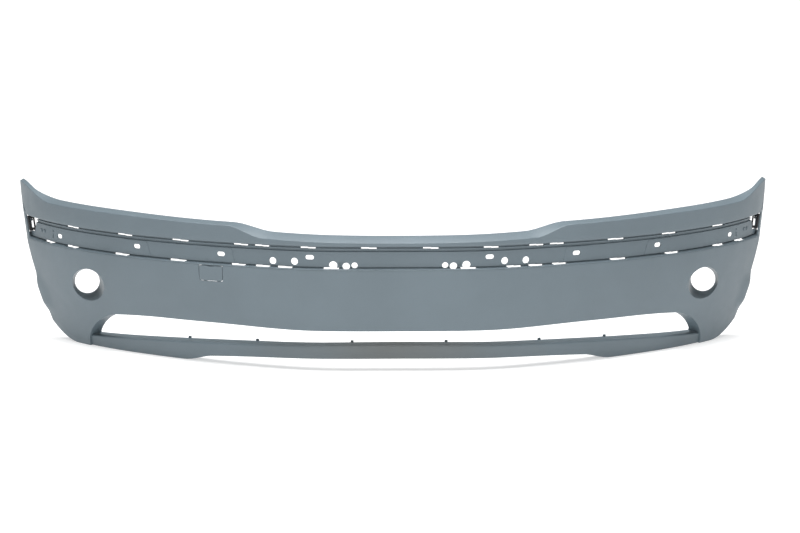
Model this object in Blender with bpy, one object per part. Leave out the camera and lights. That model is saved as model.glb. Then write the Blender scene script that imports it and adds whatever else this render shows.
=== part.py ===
"""Front bumper cover of a saloon car: the skin, the lower bar, the towing-eye flap and their fixings.

The frame is in metres with +Z up, X across the car and -Y forwards. The cover stands on its lower edges at
z = 0, and the origin is under the middle of its bounding box. Depth is counted back from the foremost point.
"""

import math

import bmesh
import bpy
from mathutils import Matrix, Vector

# ---- driving dimensions (metres, degrees) --------------------------------------------------------
HALF_WIDTH = 0.8540  # where the plan curve would run straight back
PLAN_DEPTH = 0.522  # how far back it is there
PLAN_X_POWER = 2.03  # powers of the superellipse that the lower lip follows in plan
PLAN_Y_POWER = 1.54
FRONT_Y = -0.2530  # the foremost point of the lower lip
PLAN_FLAT = (0.0085, 0.195, 0.120)  # the middle is flatter: by how much, at which x, over what spread
WALL = 0.003
GAP = 0.0004  # air between neighbouring pieces

LIP_LOW_Z = 0.2242  # the trim channel's two lips
LIP_HIGH_Z = 0.2765
CHANNEL_DEPTH = 0.012
BAND_DEPTH = 0.0085  # the channel's floor between its two grooves
BAND_Z = (0.2296, 0.2625)
LIP_CHAMFER = (0.0026, 0.0035)  # up and back
GROOVE_TOP_Z = LIP_HIGH_Z - 0.0015
GROOVE_FOOT_Z = LIP_LOW_Z + LIP_CHAMFER[0]

TOP_Z = 0.3125  # front edge of the top ledge beside the grille cut-out
CUT_TOP_Z = 0.2835  # the same edge in the middle of the cut-out
CUT_RISE = 0.0055  # and how far it climbs to the cut-out's shoulder
CUT_REAR = 0.0110  # the ledge climbs this much towards its rear, in the cut-out
CUT_REAR_X = (0.262, 0.345)  # the shoulder along the ledge's rear edge, and along its front edge
CUT_FRONT_X = (0.282, 0.348)
LEDGE_DEPTH = 0.030
TIP_Z = 0.3500  # the horn over the wheel arch
TIP_X = (0.742, 0.820)

ARCH_RADIUS = 1.200  # the rear edge, a shallow arc seen from the side
ARCH_CENTRE_Z = -0.200
ARCH_CENTRE_DEPTH = 1.5715
ARCH_FLANGE = 0.022
ARCH_FLANGE_Z = (0.075, 0.235)
ARCH_FLARE = 0.007

TUCK_CENTRE = 0.018  # how far the skin leans in at the foot, at the middle and at the corners
TUCK_SIDE = 0.047
TUCK_POWER = 1.5

INTAKE_MIDDLE_Z = 0.0895  # the intake's upper edge in the middle
INTAKE_LIFT = 0.0045  # it climbs this much to either side, then falls to its rounded ends
INTAKE_DROP = 0.0068
INTAKE_END = (0.662, 0.820)  # the rounded end's start and foot, as shares of the way to the wheel arch
INTAKE_END_POWER = 1.35  # over 1 makes that end slant more
RETURN_TOP = 0.016
RETURN_END = 0.032
FOOT_RISE_FROM = 0.875  # the lower edge climbs to the wheel arch from this share
FOOT_RISE = 0.040

BAR_TOP_Z = 0.0575  # the lower bar's flat top, at the middle
BAR_TOP_DROP = 0.063  # per square metre of x
BAR_TOP_DEPTH = 0.045
BAR_SETBACK = 0.0042  # behind the skin's own surface
BAR_FOOT_Z = 0.0268
BAR_FOOT_DROP = 0.165  # per cubic metre of x
BAR_STEP_X = (0.425, 0.495)  # where the bar's lower edge steps down to the floor
BAR_END = 0.838
FOOT_FLAT = 0.006  # width of the flat that the cover stands on
FOOT_FLANGE_LIFT = 0.004
FOOT_FLANGE = 0.032

FOG_X = 0.690
FOG_Z = 0.145
FOG_RADIUS = 0.0274
FOG_BACK = 0.324  # depth of the lamp seat behind the foremost point
COLLAR_DEPTHS = (0.20, FOG_BACK - 0.0002)
FOG_TAPER = math.tan(math.radians(10))
FOG_SEAT_WIDTH = 0.009

FLAP_X = -0.4072
FLAP_WIDTH = 0.0545
FLAP_Z = (0.1885, 0.2212)
FLAP_CORNER = 0.0045
FLAP_GAP = 0.0011

PEG_X = (0.1035, 0.329, 0.492)
SLOT_LENGTH = (0.033, 0.041)  # in the middle and towards the ends
UPPER_SLOT_X = (0.0664, 0.1987, 0.2994, 0.3454, 0.4791, 0.6049, 0.7279)
LOWER_SLOT_X = (0.1476, 0.2490, 0.2973, 0.3501, 0.4836, 0.6115, 0.7282, 0.7846)
UPPER_SLOT_Z = (0.2685, 0.2724)
LOWER_SLOT_Z = (0.2232, 0.2290)
OBROUND_SIZE = (0.0185, 0.0100)
OBROUNDS = ((0.1947, 0.2500), (0.3877, 0.2475), (0.5752, 0.2485), (0.7576, 0.2445))
PLUG_HOLES = ((0.0973, 0.2333, 0.0067), (0.1153, 0.2312, 0.0080), (0.1435, 0.2335, 0.0088),
              (0.2279, 0.2401, 0.0078), (0.2749, 0.2392, 0.0078))
END_STRIP = (0.9775, 0.9993)  # a strip closes the channel at the wheel arch
END_STRIP_Z = (0.2212, 0.2795)
WINDOW_TOP = (0.905, 0.976)  # the opening at each end of the channel, along its top and its foot
WINDOW_FOOT = (0.944, 0.976)
WINDOW_Z = (0.2400, 0.2738)
SLIT_TOP = (0.983, 0.988)  # a slit above each opening
SLIT_FOOT = (0.973, 0.988)
SLIT_Z = (0.2808, 0.2980)

NUT_SIZE = (0.014, 0.016)  # clip nut: width along the flange, reach over it
NUT_STEEL = 0.0009
NUT_HOLE = 0.0022
NUT_SLACK = 0.0002  # more air at the flange's edge, which is curved
NUT_BOSS = 0.0042
GUIDE_Z = (0.2320, 0.2800)
GUIDE_WALL = 0.0025
GUIDE_SHARES = (0.862, 0.9755)
GUIDE_PAD_SHARES = (0.866, 0.898)
GUIDE_BLADE_SHARES = (0.966, 0.974)
GUIDE_BLADE = 0.0050
GUIDE_OPENING_SHARES = (0.906, 0.966)
GUIDE_EAR_SHARES = (0.930, 0.964)
GUIDE_EAR_TOP = 0.305
GUIDE_RIVET_SHARES = (0.872, 0.891)
RIVET_Z = 0.2485
RIVET_SHANK = 0.0022
BAR_NUT_X = (0.150, 0.520, 0.630)
ARCH_NUT_Z = (0.100, 0.155, 0.205)
SCREW_SHANK = 0.0021
SCREW_HEAD = 0.0046
TAB_SHARES = (0.8145, 0.8385)

# ---- finishes ------------------------------------------------------------------------------------
PRIMER = ("primer", (0.17, 0.22, 0.25), 0.42, 0.0)
ZINC = ("zinc", (0.62, 0.60, 0.52), 0.35, 1.0)
BLACK_PLASTIC = ("black_plastic", (0.018, 0.018, 0.02), 0.50, 0.0)
BLACK_STEEL = ("black_steel", (0.05, 0.05, 0.055), 0.40, 0.8)


def smoothstep(low, high, value):
    t = min(1.0, max(0.0, (value - low) / (high - low)))
    return t * t * (3 - 2 * t)


def mix(a, b, t):
    return a + (b - a) * t


# ---- the shape of the skin -----------------------------------------------------------------------
def plan(angle):
    """(x, depth) of the lower lip in plan, for an angle of 0 at the middle and 90 degrees at the side."""
    x = HALF_WIDTH * abs(math.sin(angle)) ** (2 / PLAN_X_POWER)
    depth = PLAN_DEPTH * (1 - abs(math.cos(angle)) ** (2 / PLAN_Y_POWER))
    depth -= PLAN_FLAT[0] * math.exp(-(((x - PLAN_FLAT[1]) / PLAN_FLAT[2]) ** 2))
    return math.copysign(x, angle), depth


def plan_angle(x):
    """The angle at which the lower lip has this x."""
    return math.copysign(math.asin((abs(x) / HALF_WIDTH) ** (PLAN_X_POWER / 2)), x)


def directions(angle):
    """Unit vectors in plan: along the lip towards +X, and inwards from it."""
    step = 1e-4
    ahead, behind = plan(angle + step), plan(angle - step)
    along = Vector((ahead[0] - behind[0], ahead[1] - behind[1], 0)).normalized()
    return along, Vector((-along.y, along.x, 0))


def place(angle, z, inset):
    x, depth = plan(angle)
    return Vector((x, FRONT_Y + depth, z)) + directions(angle)[1] * inset


def arch_angle(z):
    """The angle at which the skin ends at the wheel arch, at this height."""
    depth = ARCH_CENTRE_DEPTH - math.sqrt(ARCH_RADIUS**2 - (z - ARCH_CENTRE_Z) ** 2)
    return math.acos((1 - depth / PLAN_DEPTH) ** (PLAN_Y_POWER / 2))


def share_x(share):
    """x of the lower lip at this share of the way from the middle to the wheel arch."""
    return plan(abs(share) * arch_angle(LIP_LOW_Z))[0]


def tuck(z, x):
    """How far the skin below the channel leans in, at this height and this distance from the middle."""
    most = mix(TUCK_CENTRE, TUCK_SIDE, smoothstep(0.15, 0.60, abs(x)))
    return most * max(0.0, (LIP_LOW_Z - z) / LIP_LOW_Z) ** TUCK_POWER


def flare(z, share):
    """The wheel-arch edge rolls outwards over the lower half."""
    height = smoothstep(0.055, 0.085, z) * (1 - smoothstep(0.115, 0.150, z))
    return -ARCH_FLARE * height * smoothstep(0.94, 1.0, abs(share))


def top_rows(x):
    """(z, inset) down the ledge and the upper face, as far as the upper lip."""
    side = TOP_Z + 0.005 * smoothstep(0.33, 0.62, x)
    cut = CUT_TOP_Z + CUT_RISE * (min(x, CUT_FRONT_X[0]) / CUT_FRONT_X[0]) ** 2
    front = mix(cut, side, smoothstep(*CUT_FRONT_X, x))
    cut = CUT_TOP_Z + CUT_REAR + 0.8 * CUT_RISE * (min(x, CUT_REAR_X[0]) / CUT_REAR_X[0]) ** 2
    rear = mix(cut, side + 0.003 + 0.001 * smoothstep(0.45, 0.75, x), smoothstep(*CUT_REAR_X, x))
    tip = smoothstep(*TIP_X, x)
    front, rear = mix(front, TIP_Z - 0.003, tip), mix(rear, TIP_Z, tip)
    ledge = mix(LEDGE_DEPTH, 0.009, smoothstep(TIP_X[0], TIP_X[1] - 0.03, x))
    foot = LIP_HIGH_Z + 0.0015
    return [
        (rear, ledge),
        (mix(front, rear, 0.55), mix(0.0020, ledge, 0.45)),
        (front, 0.0020),
        (front - 0.0020, 0.0),
        (mix(front - 0.0020, foot, 0.5), 0.0),
        (foot, 0.0),
    ]


CHANNEL_ROWS = [
    (GROOVE_TOP_Z, 0.0015),
    (GROOVE_TOP_Z, CHANNEL_DEPTH),
    (BAND_Z[1] + 0.0010, CHANNEL_DEPTH),
    (BAND_Z[1], BAND_DEPTH),
    (BAND_Z[0], BAND_DEPTH),
    (BAND_Z[0] - 0.0005, CHANNEL_DEPTH),
    (GROOVE_FOOT_Z, CHANNEL_DEPTH),
    (GROOVE_FOOT_Z, LIP_CHAMFER[1]),
    (LIP_LOW_Z, 0.0),
]


def intake_edge(share):
    """Height of the skin's edge over the intake, which is also where the corners' lower rows start."""
    lift = INTAKE_LIFT * smoothstep(0.18, 0.40, abs(share))
    fall = max(0.0, min(abs(share), INTAKE_END[0]) - 0.50) / (INTAKE_END[0] - 0.50)
    return INTAKE_MIDDLE_Z + lift - INTAKE_DROP * fall**2


def foot_z(share):
    return FOOT_RISE * max(0.0, (abs(share) - FOOT_RISE_FROM) / (1 - FOOT_RISE_FROM)) ** 2


def skin_point(share, z, extra=0.0):
    """A point on the skin's outer face below the channel, moved inwards by extra."""
    angle = share * arch_angle(z)
    x = plan(angle)[0]
    return place(angle, z, tuck(z, x) + flare(z, share) + extra)


def surface_point(x, z, extra=0.0):
    """The same point found by the lip's x instead of its share."""
    return place(plan_angle(x), z, tuck(z, x) + extra)


LOWER_ROWS = 4  # from the lower lip to the intake's edge
CORNER_ROWS = 6  # from there to the corner's foot


def corner_point(share, step):
    """A point in the corner beside the intake. Its inner column follows the intake's rounded end."""
    turn = math.radians(90 * step / CORNER_ROWS)
    start, foot = INTAKE_END
    outline = mix(start, foot, math.sin(turn) ** INTAKE_END_POWER)
    moved = mix(outline, 1.0, (abs(share) - start) / (1 - start))
    low = foot_z(moved)
    z = low + (intake_edge(start) - low) * max(0.0, math.cos(turn)) ** INTAKE_END_POWER
    return skin_point(math.copysign(moved, share), z)


def columns():
    """Shares of the way to the wheel arch, closer together where the outline turns."""
    half = [0.0, 0.05, 0.10, 0.15, 0.20, 0.235, 0.255, 0.275, 0.295, 0.315, 0.345, 0.38, 0.425, 0.47]
    half += [0.52, 0.57, 0.615, INTAKE_END[0], 0.70, 0.74, 0.775, 0.815]
    half += [0.85, 0.885, 0.915, 0.94, 0.96, 0.98, 1.0]
    return [-s for s in reversed(half[1:])] + half


# ---- making objects ------------------------------------------------------------------------------
def clear_scene():
    for obj in list(bpy.data.objects):
        bpy.data.objects.remove(obj, do_unlink=True)


def material(name, colour, roughness, metallic):
    made = bpy.data.materials.get(name)
    if made is None:
        made = bpy.data.materials.new(name)
        made.use_nodes = True
        shader = made.node_tree.nodes["Principled BSDF"]
        shader.inputs["Base Color"].default_value = (*colour, 1)
        shader.inputs["Roughness"].default_value = roughness
        shader.inputs["Metallic"].default_value = metallic
    return made


def mesh_object(name, build, finish=None):
    """An object from a function that fills a bmesh. With no finish it is a helper, which isn't rendered."""
    mesh = bpy.data.meshes.new(name)
    bm = bmesh.new()
    build(bm)
    bm.to_mesh(mesh)
    bm.free()
    obj = bpy.data.objects.new(name, mesh)
    bpy.context.collection.objects.link(obj)
    if finish is None:
        obj.hide_render = True
        obj.display_type = "WIRE"
    else:
        mesh.materials.append(material(*finish))
        mesh.shade_smooth()
        mesh.set_sharp_from_angle(angle=math.radians(30))
    return obj


def solidify(obj):
    made = obj.modifiers.new("wall", "SOLIDIFY")
    made.thickness = WALL
    made.offset = -1
    made.use_even_offset = True
    return obj


def boolean(obj, other, operation, solver="EXACT"):
    made = obj.modifiers.new(f"{operation.lower()}_{other.name}", "BOOLEAN")
    made.operation = operation
    made.object = other
    made.solver = solver


def add_box(bm, matrix, size):
    bmesh.ops.create_cube(bm, size=1, matrix=matrix @ Matrix.Diagonal((*size, 1)))


def add_cylinder(bm, matrix, radius, length, segments=20, far_radius=None):
    """A cylinder, or a cone with far_radius at its +Z end, centred on the matrix and along its Z."""
    bmesh.ops.create_cone(
        bm, cap_ends=True, segments=segments, radius1=radius, depth=length, matrix=matrix,
        radius2=radius if far_radius is None else far_radius,
    )


def local_frame(x, z, inset=0.0):
    """A matrix on the lip's curve at this x: X along the lip, Y inwards, Z up."""
    angle = plan_angle(x)
    along, inwards = directions(angle)
    spot = place(angle, z, inset)
    return Matrix.Translation(spot) @ Matrix((along, inwards, Vector((0, 0, 1)))).transposed().to_4x4()


DRILL = Matrix.Rotation(math.radians(-90), 4, "X")  # turns a cylinder's Z to the local Y


def add_rings(bm, rings):
    """A closed tube from rings of points with the same count, capped at both ends."""
    made = [[bm.verts.new(p) for p in ring] for ring in rings]
    for near, far in zip(made, made[1:]):
        for i in range(len(near)):
            j = (i + 1) % len(near)
            bm.faces.new((near[i], near[j], far[j], far[i]))
    bm.faces.new(reversed(made[0]))
    bm.faces.new(made[-1])
    bmesh.ops.recalc_face_normals(bm, faces=bm.faces)


# ---- the skin ------------------------------------------------------------------------------------
def build_sheet(bm):
    """The skin's outer face as one open sheet: ledge, channel, lower face, corners and returned edges."""
    shares = columns()
    grid = []
    for share in shares:
        x = share_x(share)
        rows = [place(share * arch_angle(z), z, inset) for z, inset in top_rows(x) + CHANNEL_ROWS]
        edge = intake_edge(share)
        for i in range(1, LOWER_ROWS + 1):
            rows.append(skin_point(share, mix(LIP_LOW_Z, edge, i / LOWER_ROWS)))
        if abs(share) >= INTAKE_END[0]:
            rows += [corner_point(share, step) for step in range(1, CORNER_ROWS + 1)]
        grid.append([bm.verts.new(p) for p in rows])
    for left, right in zip(grid, grid[1:]):
        for i in range(min(len(left), len(right)) - 1):
            bm.faces.new((left[i], left[i + 1], right[i + 1], right[i]))
    add_returns(bm, grid, shares)


def add_returns(bm, grid, shares):
    """The edges turned inwards: along each corner's foot, round the intake's ends and over the intake."""
    edge = []
    full = len(grid[0])
    for side in (-1, 1):
        foot = [(grid[i][-1], s, "foot") for i, s in enumerate(shares) if s * side >= INTAKE_END[0]]
        inner = shares.index(side * INTAKE_END[0])
        rows = range(full - 2, full - CORNER_ROWS - 2, -1)
        end = [(grid[inner][row], side * INTAKE_END[0], "end") for row in rows]
        run = foot + end if side < 0 else end[::-1] + foot
        if side > 0:
            edge += [(grid[i][-1], s, "top") for i, s in enumerate(shares) if abs(s) < INTAKE_END[0]]
        edge += run
    paths = [return_path(vert, share, kind) for vert, share, kind in edge]
    made = [[vert] + [bm.verts.new(p) for p in path] for (vert, _, _), path in zip(edge, paths)]
    for left, right in zip(made, made[1:]):
        for i in range(len(left) - 1):
            bm.faces.new((left[i], left[i + 1], right[i + 1], right[i]))


def return_path(vert, share, kind):
    """Three points going inwards from a point of the lower edge."""
    spot = vert.co
    inwards = directions(plan_angle(math.copysign(min(abs(spot.x) * 1.03, HALF_WIDTH * 0.995), spot.x)))[1]
    if kind == "foot":
        narrow = smoothstep(0.90, 1.0, abs(share))
        reach, lift = mix(FOOT_FLANGE, 0.014, narrow), FOOT_FLANGE_LIFT
    else:
        reach, lift = (RETURN_END if kind == "end" else RETURN_TOP), 0.0
    steps = ((FOOT_FLAT, 0.0), (FOOT_FLAT + 0.003, lift), (reach, lift))
    return [spot + inwards * across + Vector((0, 0, up)) for across, up in steps]


def slab(bm, side, shares, heights, insets):
    """A slab that follows the skin between these shares, heights and insets."""
    (low, high), (near, far) = heights, insets
    profile = ((low, near), (high, near), (high, far), (low, far))
    spots = [side * mix(*shares, i / 6) for i in range(7)]
    add_rings(bm, [[place(spot * arch_angle(z), z, inset) for z, inset in profile] for spot in spots])


def arch_flange_point(side, z, back, inset):
    """A point on the wheel-arch edge: back runs rearwards along the skin, inset runs into the car."""
    angle = side * arch_angle(z)
    along, inwards = directions(angle)
    outer = place(angle, z, tuck(z, plan(angle)[0]) + flare(z, 1.0))
    return outer + along * (side * back) + inwards * inset


def arch_flange(bm, side):
    """A strip turned inwards along the wheel-arch edge, where the arch liner is screwed on."""
    outer, inner = -0.0002, -0.0002 - WALL
    corners = ((outer, 0.0010), (outer, ARCH_FLANGE), (inner, ARCH_FLANGE), (inner, 0.0010))
    heights = [mix(*ARCH_FLANGE_Z, i / 12) for i in range(13)]
    add_rings(bm, [[arch_flange_point(side, z, *corner) for corner in corners] for z in heights])


def fog_axis(side):
    """Local Z runs backwards from the lamp hole's centre at depth 0."""
    return Matrix.Translation((side * FOG_X, FRONT_Y, FOG_Z)) @ Matrix.Rotation(math.radians(-90), 4, "X")


def fog_radius(depth):
    return FOG_RADIUS + (FOG_BACK - depth) * FOG_TAPER


def fog_cone(bm, side, grow, depths):
    near, far = depths
    spot = fog_axis(side) @ Matrix.Translation((0, 0, (near + far) / 2))
    add_cylinder(bm, spot, fog_radius(near) + grow, far - near, 40, fog_radius(far) + grow)


def fog_seat(bm, side):
    """The flat ring that the lamp is fixed to, with an ear for its screw."""
    spot = fog_axis(side) @ Matrix.Translation((0, 0, FOG_BACK - WALL / 2))
    add_cylinder(bm, spot, FOG_RADIUS + FOG_SEAT_WIDTH, WALL, 40)


def fog_ear(bm, side):
    spot = fog_axis(side) @ Matrix.Translation((-side * 0.042, 0, FOG_BACK - WALL / 2))
    add_box(bm, spot, (0.024, 0.018, WALL - 0.0002))


def end_strip(bm, side):
    """The upright strip outside the end window."""
    slab(bm, side, END_STRIP, END_STRIP_Z, (0.0002, WALL + 0.0002))


def behind_skin(bm, side):
    """Everything behind the outer face round a lamp hole, which trims the collar to the skin."""
    rings = []
    for i in range(9):
        x = side * mix(FOG_X - 0.065, FOG_X + 0.095, i / 8)
        heights = [mix(FOG_Z + 0.055, FOG_Z - 0.055, k / 6) for k in range(7)]
        outer = [surface_point(x, z, 0.0004) for z in heights]
        rings.append(outer + [Vector((p.x, FRONT_Y + FOG_BACK + 0.10, p.z)) for p in reversed(outer)])
    add_rings(bm, rings)


def build_skin():
    skin = solidify(mesh_object("bumper_skin", build_sheet, PRIMER))
    for side, tag in ((-1, "left"), (1, "right")):
        flange = mesh_object(f"arch_flange_{tag}", lambda bm: arch_flange(bm, side))
        strip = mesh_object(f"end_strip_{tag}", lambda bm: end_strip(bm, side))
        collar = mesh_object(f"fog_collar_{tag}", lambda bm: fog_cone(bm, side, WALL, COLLAR_DEPTHS))
        trim = mesh_object(f"behind_skin_{tag}", lambda bm: behind_skin(bm, side))
        boolean(collar, trim, "INTERSECT")
        seat = mesh_object(f"fog_seat_{tag}", lambda bm: fog_seat(bm, side))
        ear = mesh_object(f"fog_ear_{tag}", lambda bm: fog_ear(bm, side))
        hole = mesh_object(f"fog_hole_{tag}", lambda bm: fog_cone(bm, side, 0.0, (0.18, FOG_BACK + 0.01)))
        for piece in (flange, strip, collar, seat, ear):
            boolean(skin, piece, "UNION")
        boolean(skin, hole, "DIFFERENCE")
    for name, build in (
        ("slot_cutters", cut_slots), ("hole_cutters", cut_holes), ("window_cutters", cut_windows),
        ("flap_opening", lambda bm: flap_prism(bm, FLAP_GAP)), ("bar_pockets", cut_bar_pockets),
    ):
        boolean(skin, mesh_object(name, build), "DIFFERENCE")
    tabs = mesh_object("bar_tabs", build_tabs)
    boolean(skin, tabs, "UNION", "MANIFOLD")  # EXACT drops the skin here
    boolean(skin, mesh_object("screw_holes", screw_holes), "DIFFERENCE")
    return skin


# ---- holes in the skin ---------------------------------------------------------------------------
def slot_length(x):
    return mix(*SLOT_LENGTH, smoothstep(0.34, 0.48, x))


def cut_slots(bm):
    """The clip slots in the channel's two grooves."""
    for side in (-1, 1):
        for x in UPPER_SLOT_X:
            low, high = UPPER_SLOT_Z
            middle = local_frame(side * x, (low + high) / 2, 0.0135)
            add_box(bm, middle, (slot_length(x), 0.009, high - low))
        for x in LOWER_SLOT_X:
            low, high = LOWER_SLOT_Z
            middle = local_frame(side * x, (low + high) / 2, 0.0105)
            add_box(bm, middle, (slot_length(x), 0.015, high - low))


def add_obround(bm, matrix, size, depth):
    """A rounded slot through the local Y: a prism whose outline has half-round ends."""
    length, height = size
    straight, radius, turns = (length - height) / 2, height / 2, 5
    outline = []
    for end in (1, -1):
        for i in range(turns + 1):
            angle = math.radians(-90 + 180 * i / turns)
            outline.append((end * (straight + radius * math.cos(angle)), end * radius * math.sin(angle)))
    add_rings(bm, [[matrix @ Vector((x, y, z)) for x, z in outline] for y in (-depth / 2, depth / 2)])


def cut_holes(bm):
    """Round and obround holes in the channel's floor."""
    for side in (-1, 1):
        for x, z in OBROUNDS:
            add_obround(bm, local_frame(side * x, z, 0.010), OBROUND_SIZE, 0.014)
        for x, z, radius in PLUG_HOLES:
            add_cylinder(bm, local_frame(side * x, z, 0.010) @ DRILL, radius, 0.014, 14)


def cut_windows(bm):
    """The opening and the slit at each end of the channel, just ahead of the wheel-arch edge."""
    openings = ((WINDOW_TOP, WINDOW_FOOT, WINDOW_Z), (SLIT_TOP, SLIT_FOOT, SLIT_Z))
    for side in (-1, 1):
        for tops, feet, (low, high) in openings:
            rings = []
            for top, foot in zip(tops, feet):
                corners = ((foot, low, -0.01), (top, high, -0.01), (top, high, 0.03), (foot, low, 0.03))
                rings.append([place(side * share * arch_angle(z), z, inset) for share, z, inset in corners])
            add_rings(bm, rings)


# ---- the lower bar -------------------------------------------------------------------------------
def bar_top(x):
    return BAR_TOP_Z - BAR_TOP_DROP * x * x


def bar_foot(x):
    arch = BAR_FOOT_Z - BAR_FOOT_DROP * abs(x) ** 3
    return max(0.0, arch) * (1 - smoothstep(*BAR_STEP_X, abs(x)))


def bar_rows(share):
    """(z, inset) round the bar's section, from the rear of its top to the rear of its lower flange."""
    angle = share * arch_angle(0.03)
    x = plan(angle)[0]
    top, foot = bar_top(x), bar_foot(x)
    edge = tuck(top, x) + BAR_SETBACK
    rows = [(top - 0.001, edge + BAR_TOP_DEPTH), (top, edge + 0.004)]
    for z in (top - 0.0025, mix(top, foot, 0.5), foot + 0.003):
        rows.append((z, tuck(z, x) + BAR_SETBACK))
    low = tuck(foot, x) + BAR_SETBACK
    rows += [
        (foot, low + 0.001), (foot, low + 0.001 + FOOT_FLAT),
        (foot + FOOT_FLANGE_LIFT, low + 0.004 + FOOT_FLAT), (foot + FOOT_FLANGE_LIFT, low + FOOT_FLANGE),
    ]
    return angle, rows


def foot_flange_point(x, share):
    """A point in the middle of the flange along the bar's foot: share runs back to its free edge."""
    inset = tuck(bar_foot(x), abs(x)) + BAR_SETBACK + FOOT_FLANGE * share
    return place(plan_angle(x), bar_foot(x) + FOOT_FLANGE_LIFT + WALL / 2, inset)


def build_bar_sheet(bm):
    shares = [s for s in columns() if abs(s) < BAR_END - 0.01]
    extra = [0.40, 0.44, 0.46, 0.485, 0.50]
    extra += [-share for share in extra] + [-BAR_END, BAR_END]
    shares = sorted({round(s, 4) for s in shares} | set(extra))
    grid = []
    for share in shares:
        angle, rows = bar_rows(share)
        grid.append([bm.verts.new(place(angle, z, inset)) for z, inset in rows])
    for left, right in zip(grid, grid[1:]):
        for i in range(len(left) - 1):
            bm.faces.new((left[i], left[i + 1], right[i + 1], right[i]))


def cut_bar_pockets(bm):
    """Room for the bar's ends behind the corners."""
    clear = 0.0007
    for side in (-1, 1):
        rings = []
        for i in range(7):
            angle, rows = bar_rows(side * mix(0.745, BAR_END + 0.004, i / 6))
            top, foot = rows[0][0] + 0.001 + clear, rows[5][0]
            front = [(z, inset - clear / 2) for z, inset in rows[2:5]]
            below = foot - 0.01
            outline = [(top, rows[1][1]), *front, (below, front[-1][1]), (below, 0.12), (top, 0.12)]
            rings.append([place(angle, z, inset) for z, inset in outline])
        add_rings(bm, rings)


def build_pegs(bm):
    """Hooks on the bar's top that hold the intake grille."""
    for side in (-1, 1):
        for x in PEG_X:
            z = bar_top(x)
            inset = tuck(z, x) + BAR_SETBACK + BAR_TOP_DEPTH - 0.004
            add_box(bm, local_frame(side * x, z + 0.0005, inset), (0.0065, 0.0026, 0.0070))


def tab_rows(share):
    angle = share * arch_angle(0.03)
    x = plan(angle)[0]
    top = bar_top(x)
    low, high = top + GAP, top + GAP + WALL
    near, far = tuck(low, x) + 0.0015, tuck(low, x) + BAR_SETBACK + 0.038
    return [place(angle, z, inset) for z, inset in ((low, near), (high, near), (high, far), (low, far))]


def build_tabs(bm):
    """A foot inside each corner, over the bar's end, which the bar is screwed to."""
    for side in (-1, 1):
        add_rings(bm, [tab_rows(side * mix(*TAB_SHARES, i / 3)) for i in range(4)])


def screw_spots():
    """(name, matrix) of the screws: each stands on a tab, with its local Z up."""
    for side, tag in ((-1, "left"), (1, "right")):
        share = side * mix(*TAB_SHARES, 0.5)
        angle = share * arch_angle(0.03)
        x = plan(angle)[0]
        for number, back in ((1, 0.013), (2, 0.030)):
            spot = place(angle, bar_top(x) + GAP + WALL, tuck(bar_top(x), x) + BAR_SETBACK + back)
            yield f"bar_screw_{tag}_{number}", Matrix.Translation(spot)


def screw_holes(bm):
    """Holes through the tabs and the bar's top under them."""
    for _, spot in screw_spots():
        add_cylinder(bm, spot, SCREW_SHANK + 0.0005, 0.03, 16)


def build_bar():
    bar = solidify(mesh_object("lower_bar", build_bar_sheet, PRIMER))
    boolean(bar, mesh_object("grille_pegs", build_pegs), "UNION")
    boolean(bar, mesh_object("bar_screw_bores", screw_holes), "DIFFERENCE")
    boolean(bar, mesh_object("bar_nut_bores", bar_nut_bores), "DIFFERENCE")
    return bar


# ---- the towing-eye flap -------------------------------------------------------------------------
def flap_middle():
    return local_frame(FLAP_X, (FLAP_Z[0] + FLAP_Z[1]) / 2, 0.0)


def flap_prism(bm, grow):
    """The flap's outline, with two rounded lower corners, as a prism through the skin."""
    half, height = FLAP_WIDTH / 2 + grow, (FLAP_Z[1] - FLAP_Z[0]) / 2 + grow
    corner = FLAP_CORNER + grow
    outline = [(-half, height)]
    for side in (-1, 1):
        for i in range(5):
            turn = math.radians(22.5 * i if side < 0 else 90 - 22.5 * i)
            across = half - corner + corner * math.cos(turn)
            outline.append((side * across, -height + corner - corner * math.sin(turn)))
    outline.append((half, height))
    frame = flap_middle()
    add_rings(bm, [[frame @ Vector((x, y, z)) for x, z in outline] for y in (-0.012, 0.010)])


def flap_patch(bm):
    """The piece of the skin's outer face that the flap is part of."""
    grid = []
    for i in range(7):
        x = FLAP_X + mix(-0.04, 0.04, i / 6)
        heights = [mix(LIP_LOW_Z - 0.0005, 0.182, k / 5) for k in range(6)]
        grid.append([bm.verts.new(surface_point(x, z)) for z in heights])
    for left, right in zip(grid, grid[1:]):
        for k in range(5):
            bm.faces.new((left[k], left[k + 1], right[k + 1], right[k]))


def flap_hinge():
    """The line that the flap tips about, along its lower outer edge."""
    return local_frame(FLAP_X, FLAP_Z[0] - 0.0008, tuck(FLAP_Z[0], FLAP_X) - 0.0003)


def flap_hooks(bm):
    """Two hooks that reach behind the skin under the flap."""
    frame = flap_hinge()
    profile = (
        (0.0008, 0.0035), (0.0063, 0.0035), (0.0063, -0.0060),
        (0.0085, -0.0060), (0.0085, 0.0085), (0.0008, 0.0085),
    )
    for x in (-0.016, 0.016):
        ends = [[frame @ Vector((x + half, y, z)) for y, z in profile] for half in (-0.004, 0.004)]
        add_rings(bm, ends)


def flap_ribs(bm):
    """Two ribs that guide the flap shut."""
    frame = flap_hinge()
    profile = ((-0.0004, 0.0130), (0.0090, 0.0150), (0.0090, 0.0290), (-0.0010, 0.0310))
    for x in (-0.021, 0.021):
        ends = [[frame @ Vector((x + half, y, z)) for y, z in profile] for half in (-0.0011, 0.0011)]
        add_rings(bm, ends)


def pry_notch(bm):
    frame = flap_middle() @ Matrix.Translation((0, 0, (FLAP_Z[1] - FLAP_Z[0]) / 2))
    add_box(bm, frame, (0.013, 0.030, 0.0024))


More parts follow.
